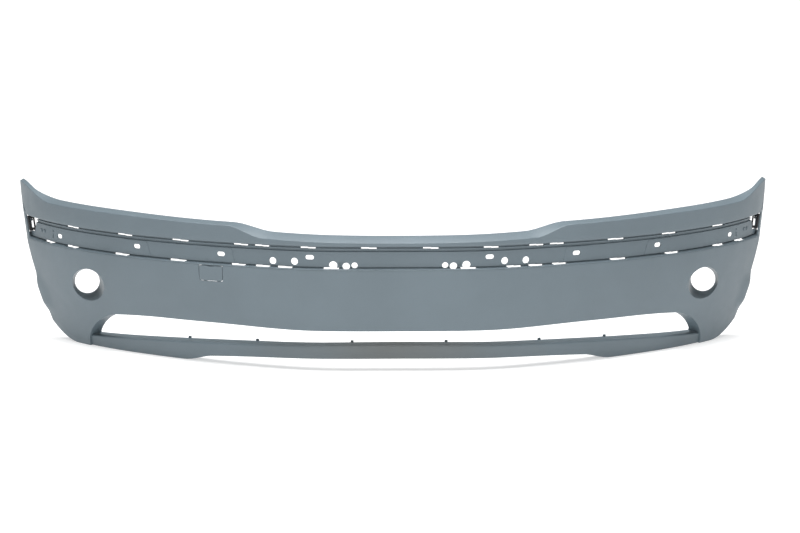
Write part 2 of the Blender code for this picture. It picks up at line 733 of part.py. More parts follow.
def build_flap(hinge):
    flap = solidify(mesh_object("tow_eye_flap", flap_patch, PRIMER))
    boolean(flap, mesh_object("flap_outline", lambda bm: flap_prism(bm, 0.0)), "INTERSECT")
    boolean(flap, mesh_object("flap_hook_shapes", flap_hooks), "UNION")
    boolean(flap, mesh_object("flap_rib_shapes", flap_ribs), "UNION")
    boolean(flap, mesh_object("pry_notch", pry_notch), "DIFFERENCE")
    flap.parent = hinge
    flap.matrix_parent_inverse = hinge.matrix_world.inverted()
    return flap


# ---- end guide brackets --------------------------------------------------------------------------
GUIDE_NEAR = CHANNEL_DEPTH + WALL + GAP
GUIDE_FAR = GUIDE_NEAR + GUIDE_WALL


def guide_plate(bm, side):
    slab(bm, side, GUIDE_SHARES, GUIDE_Z, (GUIDE_NEAR, GUIDE_FAR))


def guide_pad(bm, side):
    """A raised pad that fills the hollow behind the channel's band, where the rivets go through."""
    heights = (BAND_Z[0] + 0.0050, BAND_Z[1] - 0.0050)
    slab(bm, side, GUIDE_PAD_SHARES, heights, (BAND_DEPTH + WALL + GAP, GUIDE_NEAR + GUIDE_WALL / 2))


def guide_ear(bm, side):
    """An ear that hooks up behind the horn."""
    heights = (GUIDE_Z[1] - 0.002, GUIDE_EAR_TOP)
    slab(bm, side, GUIDE_EAR_SHARES, heights, (GUIDE_NEAR + 0.0002, GUIDE_FAR - 0.0002))


def guide_blade(bm, side):
    """The upright that stands in the window and guides the wing's edge, on an arm at its top and foot."""
    low, high = WINDOW_Z[0] + 0.0015, WINDOW_Z[1] - 0.0015
    near, far, thick = 0.0025, GUIDE_NEAR + GUIDE_WALL / 2, GUIDE_BLADE
    profile = (
        (low, near), (high, near), (high, far), (high - thick, far),
        (high - thick, near + thick), (low + thick, near + thick), (low + thick, far), (low, far),
    )
    rings = []
    for i in range(3):
        share = side * mix(*GUIDE_BLADE_SHARES, i / 2)
        rings.append([place(share * arch_angle(z), z, inset) for z, inset in profile])
    add_rings(bm, rings)


def guide_opening(bm, side):
    heights = (WINDOW_Z[0] - 0.001, WINDOW_Z[1] + 0.001)
    slab(bm, side, GUIDE_OPENING_SHARES, heights, (GUIDE_NEAR - 0.002, GUIDE_FAR + 0.002))


def guide_rivet_spots():
    """(name, matrix) of the rivets: the local Z points out of the channel's band."""
    for side, tag in ((-1, "left"), (1, "right")):
        for number, share in enumerate(GUIDE_RIVET_SHARES, 1):
            angle = side * share * arch_angle(RIVET_Z)
            along, inwards = directions(angle)
            axes = Matrix((along, -inwards.cross(along), -inwards)).transposed()
            spot = Matrix.Translation(place(angle, RIVET_Z, BAND_DEPTH))
            yield f"guide_rivet_{tag}_{number}", spot @ axes.to_4x4()


def rivet_bores(bm):
    for _, spot in guide_rivet_spots():
        add_cylinder(bm, spot, RIVET_SHANK + GAP, 0.03, 14)


def build_guides():
    for side, tag in ((-1, "left"), (1, "right")):
        guide = mesh_object(f"end_guide_{tag}", lambda bm: guide_plate(bm, side), BLACK_PLASTIC)
        boolean(guide, mesh_object(f"guide_pad_{tag}", lambda bm: guide_pad(bm, side)), "UNION")
        boolean(guide, mesh_object(f"guide_ear_{tag}", lambda bm: guide_ear(bm, side)), "UNION")
        boolean(guide, mesh_object(f"guide_blade_{tag}", lambda bm: guide_blade(bm, side)), "UNION")
        opening = mesh_object(f"guide_opening_{tag}", lambda bm: guide_opening(bm, side))
        boolean(guide, opening, "DIFFERENCE")
        boolean(guide, bpy.data.objects["rivet_bores"], "DIFFERENCE")


# ---- fixings -------------------------------------------------------------------------------------
def clip_nut(bm):
    """A steel clip pushed over an edge. The edge lies in the local XY plane and the clip opens towards +Y.

    The origin is in the middle of the flange's thickness, at its hole.
    """
    width, reach = NUT_SIZE
    half = WALL / 2 + GAP
    behind, ahead = -reach * 0.45, reach * 0.55
    profile = [
        (ahead, half), (ahead, half + NUT_STEEL), (behind - NUT_STEEL, half + NUT_STEEL),
        (behind - NUT_STEEL, -half - NUT_STEEL), (ahead, -half - NUT_STEEL), (ahead, -half),
        (behind, -half), (behind, half),
    ]
    add_rings(bm, [[Vector((x, y, z)) for y, z in profile] for x in (-width / 2, width / 2)])


def nut_boss(bm):
    add_cylinder(bm, Matrix.Translation((0, 0, WALL / 2 + GAP + 0.0016)), NUT_BOSS, 0.0030, 14)


def nut_bore(bm):
    add_cylinder(bm, Matrix.Identity(4), NUT_HOLE, 0.03, 12)


def nut_frame(edge, deeper):
    """A clip nut's matrix from three points along its flange's free edge and a point on the flange."""
    x_axis = (edge[2] - edge[0]).normalized()
    y_axis = deeper - edge[1]
    y_axis = (y_axis - x_axis * y_axis.dot(x_axis)).normalized()
    spot = edge[1] + y_axis * (NUT_SIZE[1] * 0.45 - GAP - NUT_SLACK)
    return Matrix.Translation(spot) @ Matrix((x_axis, y_axis, x_axis.cross(y_axis))).transposed().to_4x4()


def nut_spots():
    """(name, matrix) of every clip nut: local Y points from its flange's edge into it, Z to its boss."""
    steps = (-0.006, 0.0, 0.006)
    for side, tag in ((-1, "left"), (1, "right")):
        for number, x in enumerate(BAR_NUT_X, 1):
            edge = [foot_flange_point(x * side - step, 1.0) for step in steps]
            yield f"undertray_nut_{tag}_{number}", nut_frame(edge, foot_flange_point(x * side, 0.6))
        for number, z in enumerate(ARCH_NUT_Z, 1):
            middle = -0.0002 - WALL / 2
            edge = [arch_flange_point(side, z - step * side, middle, ARCH_FLANGE) for step in steps]
            deeper = arch_flange_point(side, z, middle, ARCH_FLANGE / 2)
            yield f"arch_nut_{tag}_{number}", nut_frame(edge, deeper)


def bar_nut_bores(bm):
    for name, frame in nut_spots():
        if name.startswith("undertray"):
            add_cylinder(bm, frame, NUT_HOLE + 0.0008, 0.008, 12)


def skin_nut_bores(bm):
    for name, frame in nut_spots():
        if name.startswith("arch"):
            add_cylinder(bm, frame, NUT_HOLE + 0.0008, 0.008, 12)


def build_nuts():
    """Every clip nut shares one evaluated mesh."""
    boss, bore = mesh_object("nut_boss_shape", nut_boss), mesh_object("nut_bore_shape", nut_bore)
    shape = mesh_object("clip_nut_shape", clip_nut, ZINC)
    boolean(shape, boss, "UNION")
    boolean(shape, bore, "DIFFERENCE")
    bpy.context.view_layer.update()
    graph = bpy.context.evaluated_depsgraph_get()
    mesh = bpy.data.meshes.new_from_object(shape.evaluated_get(graph))
    shape.hide_render = True
    for name, frame in nut_spots():
        nut = bpy.data.objects.new(name, mesh)
        bpy.context.collection.objects.link(nut)
        nut.matrix_world = frame


def turned(bm, profile, turns):
    """A solid turned about local Z from (radius, z) pairs, running from its top to its foot."""
    rings = []
    for radius, z in profile:
        angles = [2 * math.pi * k / turns for k in range(turns)]
        rings.append([Vector((radius * math.cos(a), radius * math.sin(a), z)) for a in angles])
    add_rings(bm, rings)


def screw(bm):
    """A pan-head screw with its head on z = 0 and its shank going down."""
    head = ((SCREW_HEAD * 0.55, 0.0030), (SCREW_HEAD * 0.9, 0.0022), (SCREW_HEAD, 0.0010), (SCREW_HEAD, 0.0))
    shank = ((SCREW_SHANK, GAP), (SCREW_SHANK, -0.0100), (0.0006, -0.0130))
    turned(bm, (*((radius, GAP + z) for radius, z in head), *shank), 12)


def rivet(bm):
    """A blind rivet: its head in the channel, and its spread foot behind the guide bracket."""
    back = -(CHANNEL_DEPTH - BAND_DEPTH + WALL + GAP + GUIDE_WALL) - GAP
    head = ((0.0026, GAP + 0.0014), (0.0044, GAP + 0.0007), (0.0044, GAP))
    foot = ((0.0034, back), (0.0034, back - 0.0020), (0.0018, back - 0.0034))
    turned(bm, (*head, (RIVET_SHANK, GAP), (RIVET_SHANK, back), *foot), 12)


def place_copies(shape, spots):
    """One object at each spot, sharing the shape's mesh."""
    shape.hide_render = True
    for name, spot in spots:
        made = bpy.data.objects.new(name, shape.data)
        bpy.context.collection.objects.link(made)
        made.matrix_world = spot


def main():
    clear_scene()
    hinge = bpy.data.objects.new("flap_hinge", None)
    bpy.context.collection.objects.link(hinge)
    hinge.matrix_world = flap_hinge()
    bpy.context.view_layer.update()
    skin = build_skin()
    boolean(skin, mesh_object("skin_nut_bores", skin_nut_bores), "DIFFERENCE")
    boolean(skin, mesh_object("rivet_bores", rivet_bores), "DIFFERENCE")
    build_bar()
    build_flap(hinge)
    build_guides()
    build_nuts()
    place_copies(mesh_object("bar_screw_shape", screw, BLACK_STEEL), screw_spots())
    place_copies(mesh_object("guide_rivet_shape", rivet, BLACK_STEEL), guide_rivet_spots())


main()
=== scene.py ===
"""The finished look of the front bumper cover: a finely rounded skin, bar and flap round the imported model.

Metres, +Z up, the car's front at -Y. Depth is counted back from the foremost point, and a share is a part
of the way along the skin from its middle to the wheel arch.
"""
import math
import bpy
import bmesh
from mathutils import Matrix, Vector


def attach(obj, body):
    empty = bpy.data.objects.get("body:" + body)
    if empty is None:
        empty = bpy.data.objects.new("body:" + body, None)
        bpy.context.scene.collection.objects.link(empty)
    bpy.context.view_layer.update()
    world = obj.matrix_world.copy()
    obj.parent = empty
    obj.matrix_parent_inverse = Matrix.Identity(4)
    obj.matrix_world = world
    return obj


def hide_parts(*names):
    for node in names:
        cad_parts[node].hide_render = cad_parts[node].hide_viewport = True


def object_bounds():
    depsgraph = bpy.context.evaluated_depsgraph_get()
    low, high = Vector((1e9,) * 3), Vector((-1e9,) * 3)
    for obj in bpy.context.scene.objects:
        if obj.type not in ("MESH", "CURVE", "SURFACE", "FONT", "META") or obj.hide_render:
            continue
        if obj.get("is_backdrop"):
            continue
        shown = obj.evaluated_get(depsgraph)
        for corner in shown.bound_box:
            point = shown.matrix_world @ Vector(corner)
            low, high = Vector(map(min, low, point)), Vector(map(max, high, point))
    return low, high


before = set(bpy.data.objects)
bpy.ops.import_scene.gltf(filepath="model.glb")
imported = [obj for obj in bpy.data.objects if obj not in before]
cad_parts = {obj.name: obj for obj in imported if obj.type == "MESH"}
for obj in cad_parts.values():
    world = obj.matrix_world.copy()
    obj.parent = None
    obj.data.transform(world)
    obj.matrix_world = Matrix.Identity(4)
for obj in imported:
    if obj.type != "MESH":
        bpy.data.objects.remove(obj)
cad_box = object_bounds()

HALF_WIDTH = 0.8540  # where the plan curve would run straight back
PLAN_DEPTH = 0.522  # how far back it is there
PLAN_X_POWER = 2.03  # powers of the superellipse that the lower lip follows in plan
PLAN_Y_POWER = 1.54
FRONT_Y = -0.2530  # the foremost point of the lower lip
PLAN_FLAT = (0.0085, 0.195, 0.120)  # the middle is flatter: by how much, at which x, over what spread
WALL = 0.003
GAP = 0.0004  # air between neighbouring pieces
BURY = 0.0010  # how far into the wall a shape that is added to it reaches
SKIN_STEP = 0.0002  # strips at the wheel arch lie this far inside the skin's own surface

LIP_LOW_Z = 0.2242  # the trim channel's two lips
LIP_HIGH_Z = 0.2765
CHANNEL_DEPTH = 0.012
BAND_DEPTH = 0.0085  # the channel's floor between its two grooves
BAND_Z = (0.2296, 0.2625)
LIP_CHAMFER = (0.0026, 0.0035)  # up and back
GROOVE_TOP_Z = LIP_HIGH_Z - 0.0015
GROOVE_FOOT_Z = LIP_LOW_Z + LIP_CHAMFER[0]

TOP_Z = 0.3125  # front edge of the top ledge beside the grille cut-out
CUT_TOP_Z = 0.2835  # the same edge in the middle of the cut-out
CUT_RISE = 0.0055  # and how far it climbs to the cut-out's shoulder
CUT_REAR = 0.0110  # the ledge climbs this much towards its rear, in the cut-out
CUT_REAR_X = (0.262, 0.345)  # the shoulder along the ledge's rear edge, and along its front edge
CUT_FRONT_X = (0.282, 0.348)
LEDGE_DEPTH = 0.030
EDGE_ROUND = 0.0024  # radius of the ledge's front edge
TIP_Z = 0.3500  # the horn over the wheel arch
TIP_X = (0.742, 0.820)

ARCH_RADIUS = 1.200  # the rear edge, a shallow arc seen from the side
ARCH_CENTRE_Z = -0.200
ARCH_CENTRE_DEPTH = 1.5715
ARCH_FLANGE = 0.022
ARCH_FLANGE_Z = (0.075, 0.235)
ARCH_STEPS = 40
ARCH_FLARE = 0.007

TUCK_CENTRE = 0.018  # how far the skin leans in at the foot, at the middle and at the corners
TUCK_SIDE = 0.047
TUCK_POWER = 1.5

INTAKE_MIDDLE_Z = 0.0895  # the intake's upper edge in the middle
INTAKE_LIFT = 0.0045  # it climbs this much to either side, then falls to its rounded ends
INTAKE_DROP = 0.0068
INTAKE_DROP_FROM = 0.50
INTAKE_END = (0.662, 0.820)  # the rounded end's start and foot, as shares of the way to the wheel arch
INTAKE_END_POWER = 1.35  # over 1 makes that end slant more
RETURN_TOP = 0.016
RETURN_END = 0.032
FOOT_RISE_FROM = 0.875  # the lower edge climbs to the wheel arch from this share
FOOT_RISE = 0.040

BAR_TOP_Z = 0.0575  # the lower bar's flat top, at the middle
BAR_TOP_DROP = 0.063  # per square metre of x
BAR_TOP_DEPTH = 0.045
BAR_SETBACK = 0.0042  # behind the skin's own surface
BAR_FOOT_Z = 0.0268
BAR_FOOT_DROP = 0.165  # per cubic metre of x
BAR_STEP_X = (0.425, 0.495)  # where the bar's lower edge steps down to the floor
BAR_END = 0.838
BAR_SHARE_Z = 0.03  # the height at which shares along the bar are measured
BAR_ROUND = 0.0050  # radius of the bar's upper edge
BAR_ROUND_STEPS = 7
BAR_TOP_FALL = (0.001, 0.0002)  # the top falls this much to its rear, and to its rounded edge
BAR_FACE_ROWS = (0.30, 0.45, 0.60, 0.75, 0.88)  # parts of the way down the face
BAR_TOE = 0.003  # height of the chamfer at the foot of the face
BAR_LEAN = 0.0012  # the bar's face curls under towards its foot
FOOT_FLAT = 0.006  # width of the flat that the cover stands on
FOOT_FLANGE_LIFT = 0.004
FOOT_FLANGE = 0.032

FOG_X = 0.690
FOG_Z = 0.145
FOG_RADIUS = 0.0274
FOG_BACK = 0.324  # depth of the lamp seat behind the foremost point
COLLAR_DEPTHS = (0.20, FOG_BACK - 0.0002)
COLLAR_ROOM = (0.065, 0.095, 0.055)  # trimmed to the skin this far inwards, outwards, and up and down
COLLAR_TRIM = 0.0004
FOG_HOLE_DEPTHS = (0.18, FOG_BACK + 0.01)
FOG_TAPER = math.tan(math.radians(10))
FOG_SEAT_WIDTH = 0.009
FOG_EAR_X = 0.042
FOG_EAR_SIZE = (0.024, 0.018)
FOG_SEGMENTS = 96

FLAP_X = -0.4072
FLAP_WIDTH = 0.0545
FLAP_Z = (0.1885, 0.2212)
FLAP_CORNER = 0.0045
FLAP_GAP = 0.0011
FLAP_CUT = (-0.012, 0.010)  # its outline is cut from in front of the skin to behind it
FLAP_PATCH = (0.04, 0.182)  # the face that it is cut from: reach to either side, and foot
HINGE_DROP = 0.0008  # the hinge line is this much under the flap's foot and in front of it
HINGE_OUT = 0.0003
HOOK_X = (0.016, 0.004)  # place to either side of the middle, and half thickness
RIB_X = (0.021, 0.0011)
PRY_NOTCH = (0.013, 0.030, 0.0024)

PEG_X = (0.1035, 0.329, 0.492)
PEG_SIZE = (0.0065, 0.0026, 0.0070)
PEG_BACK = 0.004  # from the rear edge of the bar's top
PEG_LIFT = 0.0005
SLOT_LENGTH = (0.033, 0.041)  # in the middle and towards the ends
UPPER_SLOT_X = (0.0664, 0.1987, 0.2994, 0.3454, 0.4791, 0.6049, 0.7279)
LOWER_SLOT_X = (0.1476, 0.2490, 0.2973, 0.3501, 0.4836, 0.6115, 0.7282, 0.7846)
UPPER_SLOT_Z = (0.2685, 0.2724)
LOWER_SLOT_Z = (0.2232, 0.2284)
UPPER_SLOT_CUT = (0.0135, 0.009)  # the middle of a slot's cutter, and its depth
LOWER_SLOT_CUT = (0.0105, 0.015)
OBROUND_SIZE = (0.0185, 0.0100)
OBROUNDS = ((0.1947, 0.2500), (0.3877, 0.2475), (0.5752, 0.2485), (0.7576, 0.2445))
PLUG_HOLES = ((0.0973, 0.2333, 0.0067), (0.1153, 0.2312, 0.0080), (0.1435, 0.2335, 0.0088),
              (0.2279, 0.2401, 0.0078), (0.2749, 0.2392, 0.0078))
END_STRIP = (0.9775, 0.9993)  # a strip closes the channel at the wheel arch
END_STRIP_Z = (0.2212, 0.2795)
WINDOW_TOP = (0.905, 0.976)  # the opening at each end of the channel, along its top and its foot
WINDOW_FOOT = (0.944, 0.976)
WINDOW_Z = (0.2400, 0.2738)
SLIT_TOP = (0.983, 0.988)  # a slit above each opening
SLIT_FOOT = (0.973, 0.988)
SLIT_Z = (0.2808, 0.2980)
WINDOW_CUT = (-0.01, 0.03)  # both are cut from in front of the skin to behind it
HOLE_INSET = 0.010  # the middle of a hole's cutter, and its depth
HOLE_DEPTH = 0.014

SKIN_COLOUR = (0.130, 0.168, 0.192)
BAR_COLOUR = (0.124, 0.160, 0.182)
BAR_WARMTH = 0.75  # how much of the plastic shows through in the bar's middle
WARM_COLOUR = (0.110, 0.110, 0.100)
PLASTIC_COLOUR = (0.022, 0.022, 0.024)
ZINC_COLOUR = (0.62, 0.60, 0.50)
STEEL_COLOUR = (0.060, 0.060, 0.065)
SHARP_ANGLE = 42  # degrees: edges sharper than this stay sharp

CAMERA_LIFT = 10.0  # degrees
CAMERA_TURN = 1.6
CAMERA_ROLL = 0.1
CAMERA_TARGET = Vector((0, FRONT_Y, 0.2285))
CAMERA_REACH = 7.0
CAMERA_LENS = 147.3  # millimetres, as the sensor is
CAMERA_SENSOR = 36
CAMERA_SHIFT = 0.00225
WORLD_STRENGTH = 0.20
FLOOR_REACH = 40
FLOOR_Z = -0.0005
FLOOR_SHADES = (0.58, 0.60)
FLOOR_GLOW = 0.52  # lifts the shadow under the cover, as a lit table does
SUN_STRENGTH = 3.4
SUN_SPREAD = 50  # degrees
SUN_TILT = (3, -2)
LIGHTS = (  # name, place, what it faces, size, watts
    ("top_softbox", (0.0, -0.4, 2.6), (0, -0.1, 0.2), (1.2, 1.2), 35),
    ("front_softbox", (-0.5, -5.0, 2.2), (0, 0, 0.2), (2.0, 1.0), 70),
)

RAIL_Z = (0.2671, 0.2697)  # a thin rail between the two upper grooves
RAIL_INSET = 0.0092
RAIL_SHARE = 0.925
RAIL_STEPS = 150
CREASE_Z = (0.2226, 0.2233)  # a fine line under the lower lip
CREASE_INSETS = (-0.0020, 0.0007)
CREASE_SHARE = 0.99
CREASE_STEPS = 160
SLOT_STEP = 0.0007  # each clip slot steps down this much halfway along
KEYHOLE_X = 0.7735
KEYHOLE_DOT = (0.2536, 0.0023)
KEYHOLE_SLOT_Z = (0.2370, 0.2470)
KEYHOLE_WIDTH = 0.0042
PAD_SIZE = 0.052  # plain panels round the rounded slots
PAD_RISE = 0.0006
PAD_MARGIN = 0.0012
PAD_SHARE_Z = 0.25
RECESS_X = (0.1190, 0.1312)
RECESS_Z = (0.2325, 0.2405)
RECESS_CUT = 0.0044  # depth of its cutter, whose middle is at the band's surface
NUT_REACH = 0.016  # length of a clip nut, square to its flange's edge
NUT_SEAT = 0.45  # the part of it from its middle to that edge
NUT_STEP = 0.006
NUT_BORE = (0.0030, 0.008)  # radius and length
NUT_SLACK = 0.0002  # more air at the flange's edge, which is curved
SCREW_BORE = (0.0026, 0.03)  # radius and length
SCREW_BACKS = (0.013, 0.030)  # behind the bar's face
TAB_SHARES = (0.8145, 0.8385)
TAB_INSETS = (0.0015, 0.038)
BAR_NUT_X = (0.150, 0.520, 0.630)
ARCH_NUT_Z = (0.100, 0.155, 0.205)


# ---- blending between values ---------------------------------------------------------------------
def smoothstep(low, high, value):
    t = min(1.0, max(0.0, (value - low) / (high - low)))
    return t * t * (3 - 2 * t)


def mix(a, b, t):
    return a + (b - a) * t


# ---- the shape of the skin -----------------------------------------------------------------------
def plan(angle):
    """(x, depth) of the lower lip in plan, for an angle of 0 at the middle and 90 degrees at the side."""
    x = HALF_WIDTH * abs(math.sin(angle)) ** (2 / PLAN_X_POWER)
    depth = PLAN_DEPTH * (1 - abs(math.cos(angle)) ** (2 / PLAN_Y_POWER))
    depth -= PLAN_FLAT[0] * math.exp(-(((x - PLAN_FLAT[1]) / PLAN_FLAT[2]) ** 2))
    return math.copysign(x, angle), depth


def plan_angle(x):
    """The angle at which the lower lip has this x."""
    return math.copysign(math.asin((abs(x) / HALF_WIDTH) ** (PLAN_X_POWER / 2)), x)


def directions(angle):
    """Unit vectors in plan: along the lip towards +X, and inwards from it."""
    step = 1e-4
    ahead, behind = plan(angle + step), plan(angle - step)
    along = Vector((ahead[0] - behind[0], ahead[1] - behind[1], 0)).normalized()
    return along, Vector((-along.y, along.x, 0))


def place(angle, z, inset):
    x, depth = plan(angle)
    return Vector((x, FRONT_Y + depth, z)) + directions(angle)[1] * inset


def arch_angle(z):
    """The angle at which the skin ends at the wheel arch, at this height."""
    depth = ARCH_CENTRE_DEPTH - math.sqrt(ARCH_RADIUS**2 - (z - ARCH_CENTRE_Z) ** 2)
    return math.acos((1 - depth / PLAN_DEPTH) ** (PLAN_Y_POWER / 2))


def share_x(share):
    """x of the lower lip at this share of the way from the middle to the wheel arch."""
    return plan(abs(share) * arch_angle(LIP_LOW_Z))[0]


def tuck(z, x):
    """How far the skin below the channel leans in, at this height and this distance from the middle."""
    most = mix(TUCK_CENTRE, TUCK_SIDE, smoothstep(0.15, 0.60, abs(x)))
    return most * max(0.0, (LIP_LOW_Z - z) / LIP_LOW_Z) ** TUCK_POWER


def flare(z, share):
    """The wheel-arch edge rolls outwards over the lower half."""
    height = smoothstep(0.055, 0.085, z) * (1 - smoothstep(0.115, 0.150, z))
    return -ARCH_FLARE * height * smoothstep(0.94, 1.0, abs(share))


def top_rows(x):
    """(z, inset) down the ledge and the upper face, as far as the upper lip."""
    side = TOP_Z + 0.005 * smoothstep(0.33, 0.62, x)
    cut = CUT_TOP_Z + CUT_RISE * (min(x, CUT_FRONT_X[0]) / CUT_FRONT_X[0]) ** 2
    front = mix(cut, side, smoothstep(*CUT_FRONT_X, x))
    cut = CUT_TOP_Z + CUT_REAR + 0.8 * CUT_RISE * (min(x, CUT_REAR_X[0]) / CUT_REAR_X[0]) ** 2
    rear = mix(cut, side + 0.003 + 0.001 * smoothstep(0.45, 0.75, x), smoothstep(*CUT_REAR_X, x))
    tip = smoothstep(*TIP_X, x)
    front, rear = mix(front, TIP_Z - 0.003, tip), mix(rear, TIP_Z, tip)
    ledge = mix(LEDGE_DEPTH, 0.009, smoothstep(TIP_X[0], TIP_X[1] - 0.03, x))
    foot = LIP_HIGH_Z + 0.0015
    return [
        (rear, ledge),
        (mix(front, rear, 0.55), mix(EDGE_ROUND, ledge, 0.45)),
        (mix(front, rear, 0.12), mix(EDGE_ROUND, ledge, 0.10)),
        *edge_round(front),
        (mix(front - EDGE_ROUND, foot, 0.33), 0.0),
        (mix(front - EDGE_ROUND, foot, 0.67), 0.0),
        (foot, 0.0),
    ]


def edge_round(front):
    """Rows round the edge between the ledge and the upper face."""
    turns = [math.radians(15 * step) for step in range(7)]
    return [(front - EDGE_ROUND * (1 - math.cos(t)), EDGE_ROUND * (1 - math.sin(t))) for t in turns]


CHANNEL_ROWS = [
    (GROOVE_TOP_Z, 0.0015),
    (GROOVE_TOP_Z, CHANNEL_DEPTH),
    (BAND_Z[1] + 0.0010, CHANNEL_DEPTH),
    (BAND_Z[1], BAND_DEPTH),
    (BAND_Z[0], BAND_DEPTH),
    (BAND_Z[0] - 0.0005, CHANNEL_DEPTH),
    (GROOVE_FOOT_Z, CHANNEL_DEPTH),
    (GROOVE_FOOT_Z, LIP_CHAMFER[1]),
    (LIP_LOW_Z, 0.0),
]


def intake_edge(share):
    """Height of the skin's edge over the intake, which is also where the corners' lower rows start."""
    lift = INTAKE_LIFT * smoothstep(0.18, 0.40, abs(share))
    fall = max(0.0, min(abs(share), INTAKE_END[0]) - INTAKE_DROP_FROM) / (INTAKE_END[0] - INTAKE_DROP_FROM)
    return INTAKE_MIDDLE_Z + lift - INTAKE_DROP * fall**2


def foot_z(share):
    return FOOT_RISE * max(0.0, (abs(share) - FOOT_RISE_FROM) / (1 - FOOT_RISE_FROM)) ** 2


def skin_point(share, z, extra=0.0):
    """A point on the skin's outer face below the channel, moved inwards by extra."""
    angle = share * arch_angle(z)
    x = plan(angle)[0]
    return place(angle, z, tuck(z, x) + flare(z, share) + extra)


def surface_point(x, z, extra=0.0):
    """The same point found by the lip's x instead of its share."""
    return place(plan_angle(x), z, tuck(z, x) + extra)


LOWER_ROWS = 14  # from the lower lip to the intake's edge
CORNER_ROWS = 14  # from there to the corner's foot
COLUMN_STEP = 0.0125


def corner_point(share, step):
    """A point in the corner beside the intake. Its inner column follows the intake's rounded end."""
    turn = math.radians(90 * step / CORNER_ROWS)
    start, foot = INTAKE_END
    outline = mix(start, foot, math.sin(turn) ** INTAKE_END_POWER)
    moved = mix(outline, 1.0, (abs(share) - start) / (1 - start))
    low = foot_z(moved)
    z = low + (intake_edge(start) - low) * max(0.0, math.cos(turn)) ** INTAKE_END_POWER
    return skin_point(math.copysign(moved, share), z)


def columns():
    """Shares of the way to the wheel arch, evenly spaced but for the intake's rounded ends."""
    count = round(1 / COLUMN_STEP)
    half = [i * COLUMN_STEP for i in range(count + 1) if abs(i * COLUMN_STEP - INTAKE_END[0]) > 0.004]
    half = sorted(half + [INTAKE_END[0]])
    return [-s for s in reversed(half[1:])] + half


# ---- making objects ------------------------------------------------------------------------------
helpers = []


def mesh_object(name, build):
    """A helper object from a function that fills a bmesh."""
    mesh = bpy.data.meshes.new(name)
    bm = bmesh.new()
    build(bm)
    bm.to_mesh(mesh)
    bm.free()
    obj = bpy.data.objects.new(name, mesh)
    bpy.context.collection.objects.link(obj)
    helpers.append(obj)
    return obj


def solidify(obj):
    made = obj.modifiers.new("wall", "SOLIDIFY")
    made.thickness = WALL
    made.offset = -1
    made.use_even_offset = True
    return obj


def boolean(obj, other, operation, solver="MANIFOLD"):
    made = obj.modifiers.new(f"{operation.lower()}_{other.name}", "BOOLEAN")
    made.operation = operation
    made.object = other
    made.solver = solver


def add_box(bm, matrix, size):
    bmesh.ops.create_cube(bm, size=1, matrix=matrix @ Matrix.Diagonal((*size, 1)))


def add_cylinder(bm, matrix, radius, length, segments=32, far_radius=None):
    """A cylinder, or a cone with far_radius at its +Z end, centred on the matrix and along its Z."""
    bmesh.ops.create_cone(
        bm, cap_ends=True, segments=segments, radius1=radius, depth=length, matrix=matrix,
        radius2=radius if far_radius is None else far_radius,
    )


def local_frame(x, z, inset=0.0):
    """A matrix on the lip's curve at this x: X along the lip, Y inwards, Z up."""
    angle = plan_angle(x)
    along, inwards = directions(angle)
    spot = place(angle, z, inset)
    return Matrix.Translation(spot) @ Matrix((along, inwards, Vector((0, 0, 1)))).transposed().to_4x4()


DRILL = Matrix.Rotation(math.radians(-90), 4, "X")  # turns a cylinder's Z to the local Y


def add_rings(bm, rings):
    """A closed tube from rings of points with the same count, capped at both ends."""
    made = [[bm.verts.new(p) for p in ring] for ring in rings]
    for near, far in zip(made, made[1:]):
        for i in range(len(near)):
            j = (i + 1) % len(near)
            bm.faces.new((near[i], near[j], far[j], far[i]))
    bm.faces.new(reversed(made[0]))
    bm.faces.new(made[-1])
    bmesh.ops.recalc_face_normals(bm, faces=bm.faces)


def add_sheet(bm, grid):
    """Faces between neighbouring columns of vertices, as far down as the shorter one goes."""
    for left, right in zip(grid, grid[1:]):
        for i in range(min(len(left), len(right)) - 1):
            bm.faces.new((left[i], left[i + 1], right[i + 1], right[i]))


# ---- the skin ------------------------------------------------------------------------------------
def build_sheet(bm):
    """The skin's outer face as one open sheet: ledge, channel, lower face, corners and returned edges."""
    shares = columns()
    grid = []
    for share in shares:
        x = share_x(share)
        rows = [place(share * arch_angle(z), z, inset) for z, inset in top_rows(x) + CHANNEL_ROWS]
        edge = intake_edge(share)
        for i in range(1, LOWER_ROWS + 1):
            rows.append(skin_point(share, mix(LIP_LOW_Z, edge, i / LOWER_ROWS)))
        if abs(share) >= INTAKE_END[0]:
            rows += [corner_point(share, step) for step in range(1, CORNER_ROWS + 1)]
        grid.append([bm.verts.new(p) for p in rows])
    add_sheet(bm, grid)
    add_returns(bm, grid, shares)


def add_returns(bm, grid, shares):
    """The edges turned inwards: along each corner's foot, round the intake's ends and over the intake."""
    edge = []
    full = len(grid[0])
    for side in (-1, 1):
        foot = [(grid[i][-1], s, "foot") for i, s in enumerate(shares) if s * side >= INTAKE_END[0]]
        inner = shares.index(side * INTAKE_END[0])
        rows = range(full - 2, full - CORNER_ROWS - 2, -1)
        end = [(grid[inner][row], side * INTAKE_END[0], "end") for row in rows]
        run = foot + end if side < 0 else end[::-1] + foot
        if side > 0:
            edge += [(grid[i][-1], s, "top") for i, s in enumerate(shares) if abs(s) < INTAKE_END[0]]
        edge += run
    paths = [return_path(vert, share, kind) for vert, share, kind in edge]
    made = [[vert] + [bm.verts.new(p) for p in path] for (vert, _, _), path in zip(edge, paths)]
    add_sheet(bm, made)


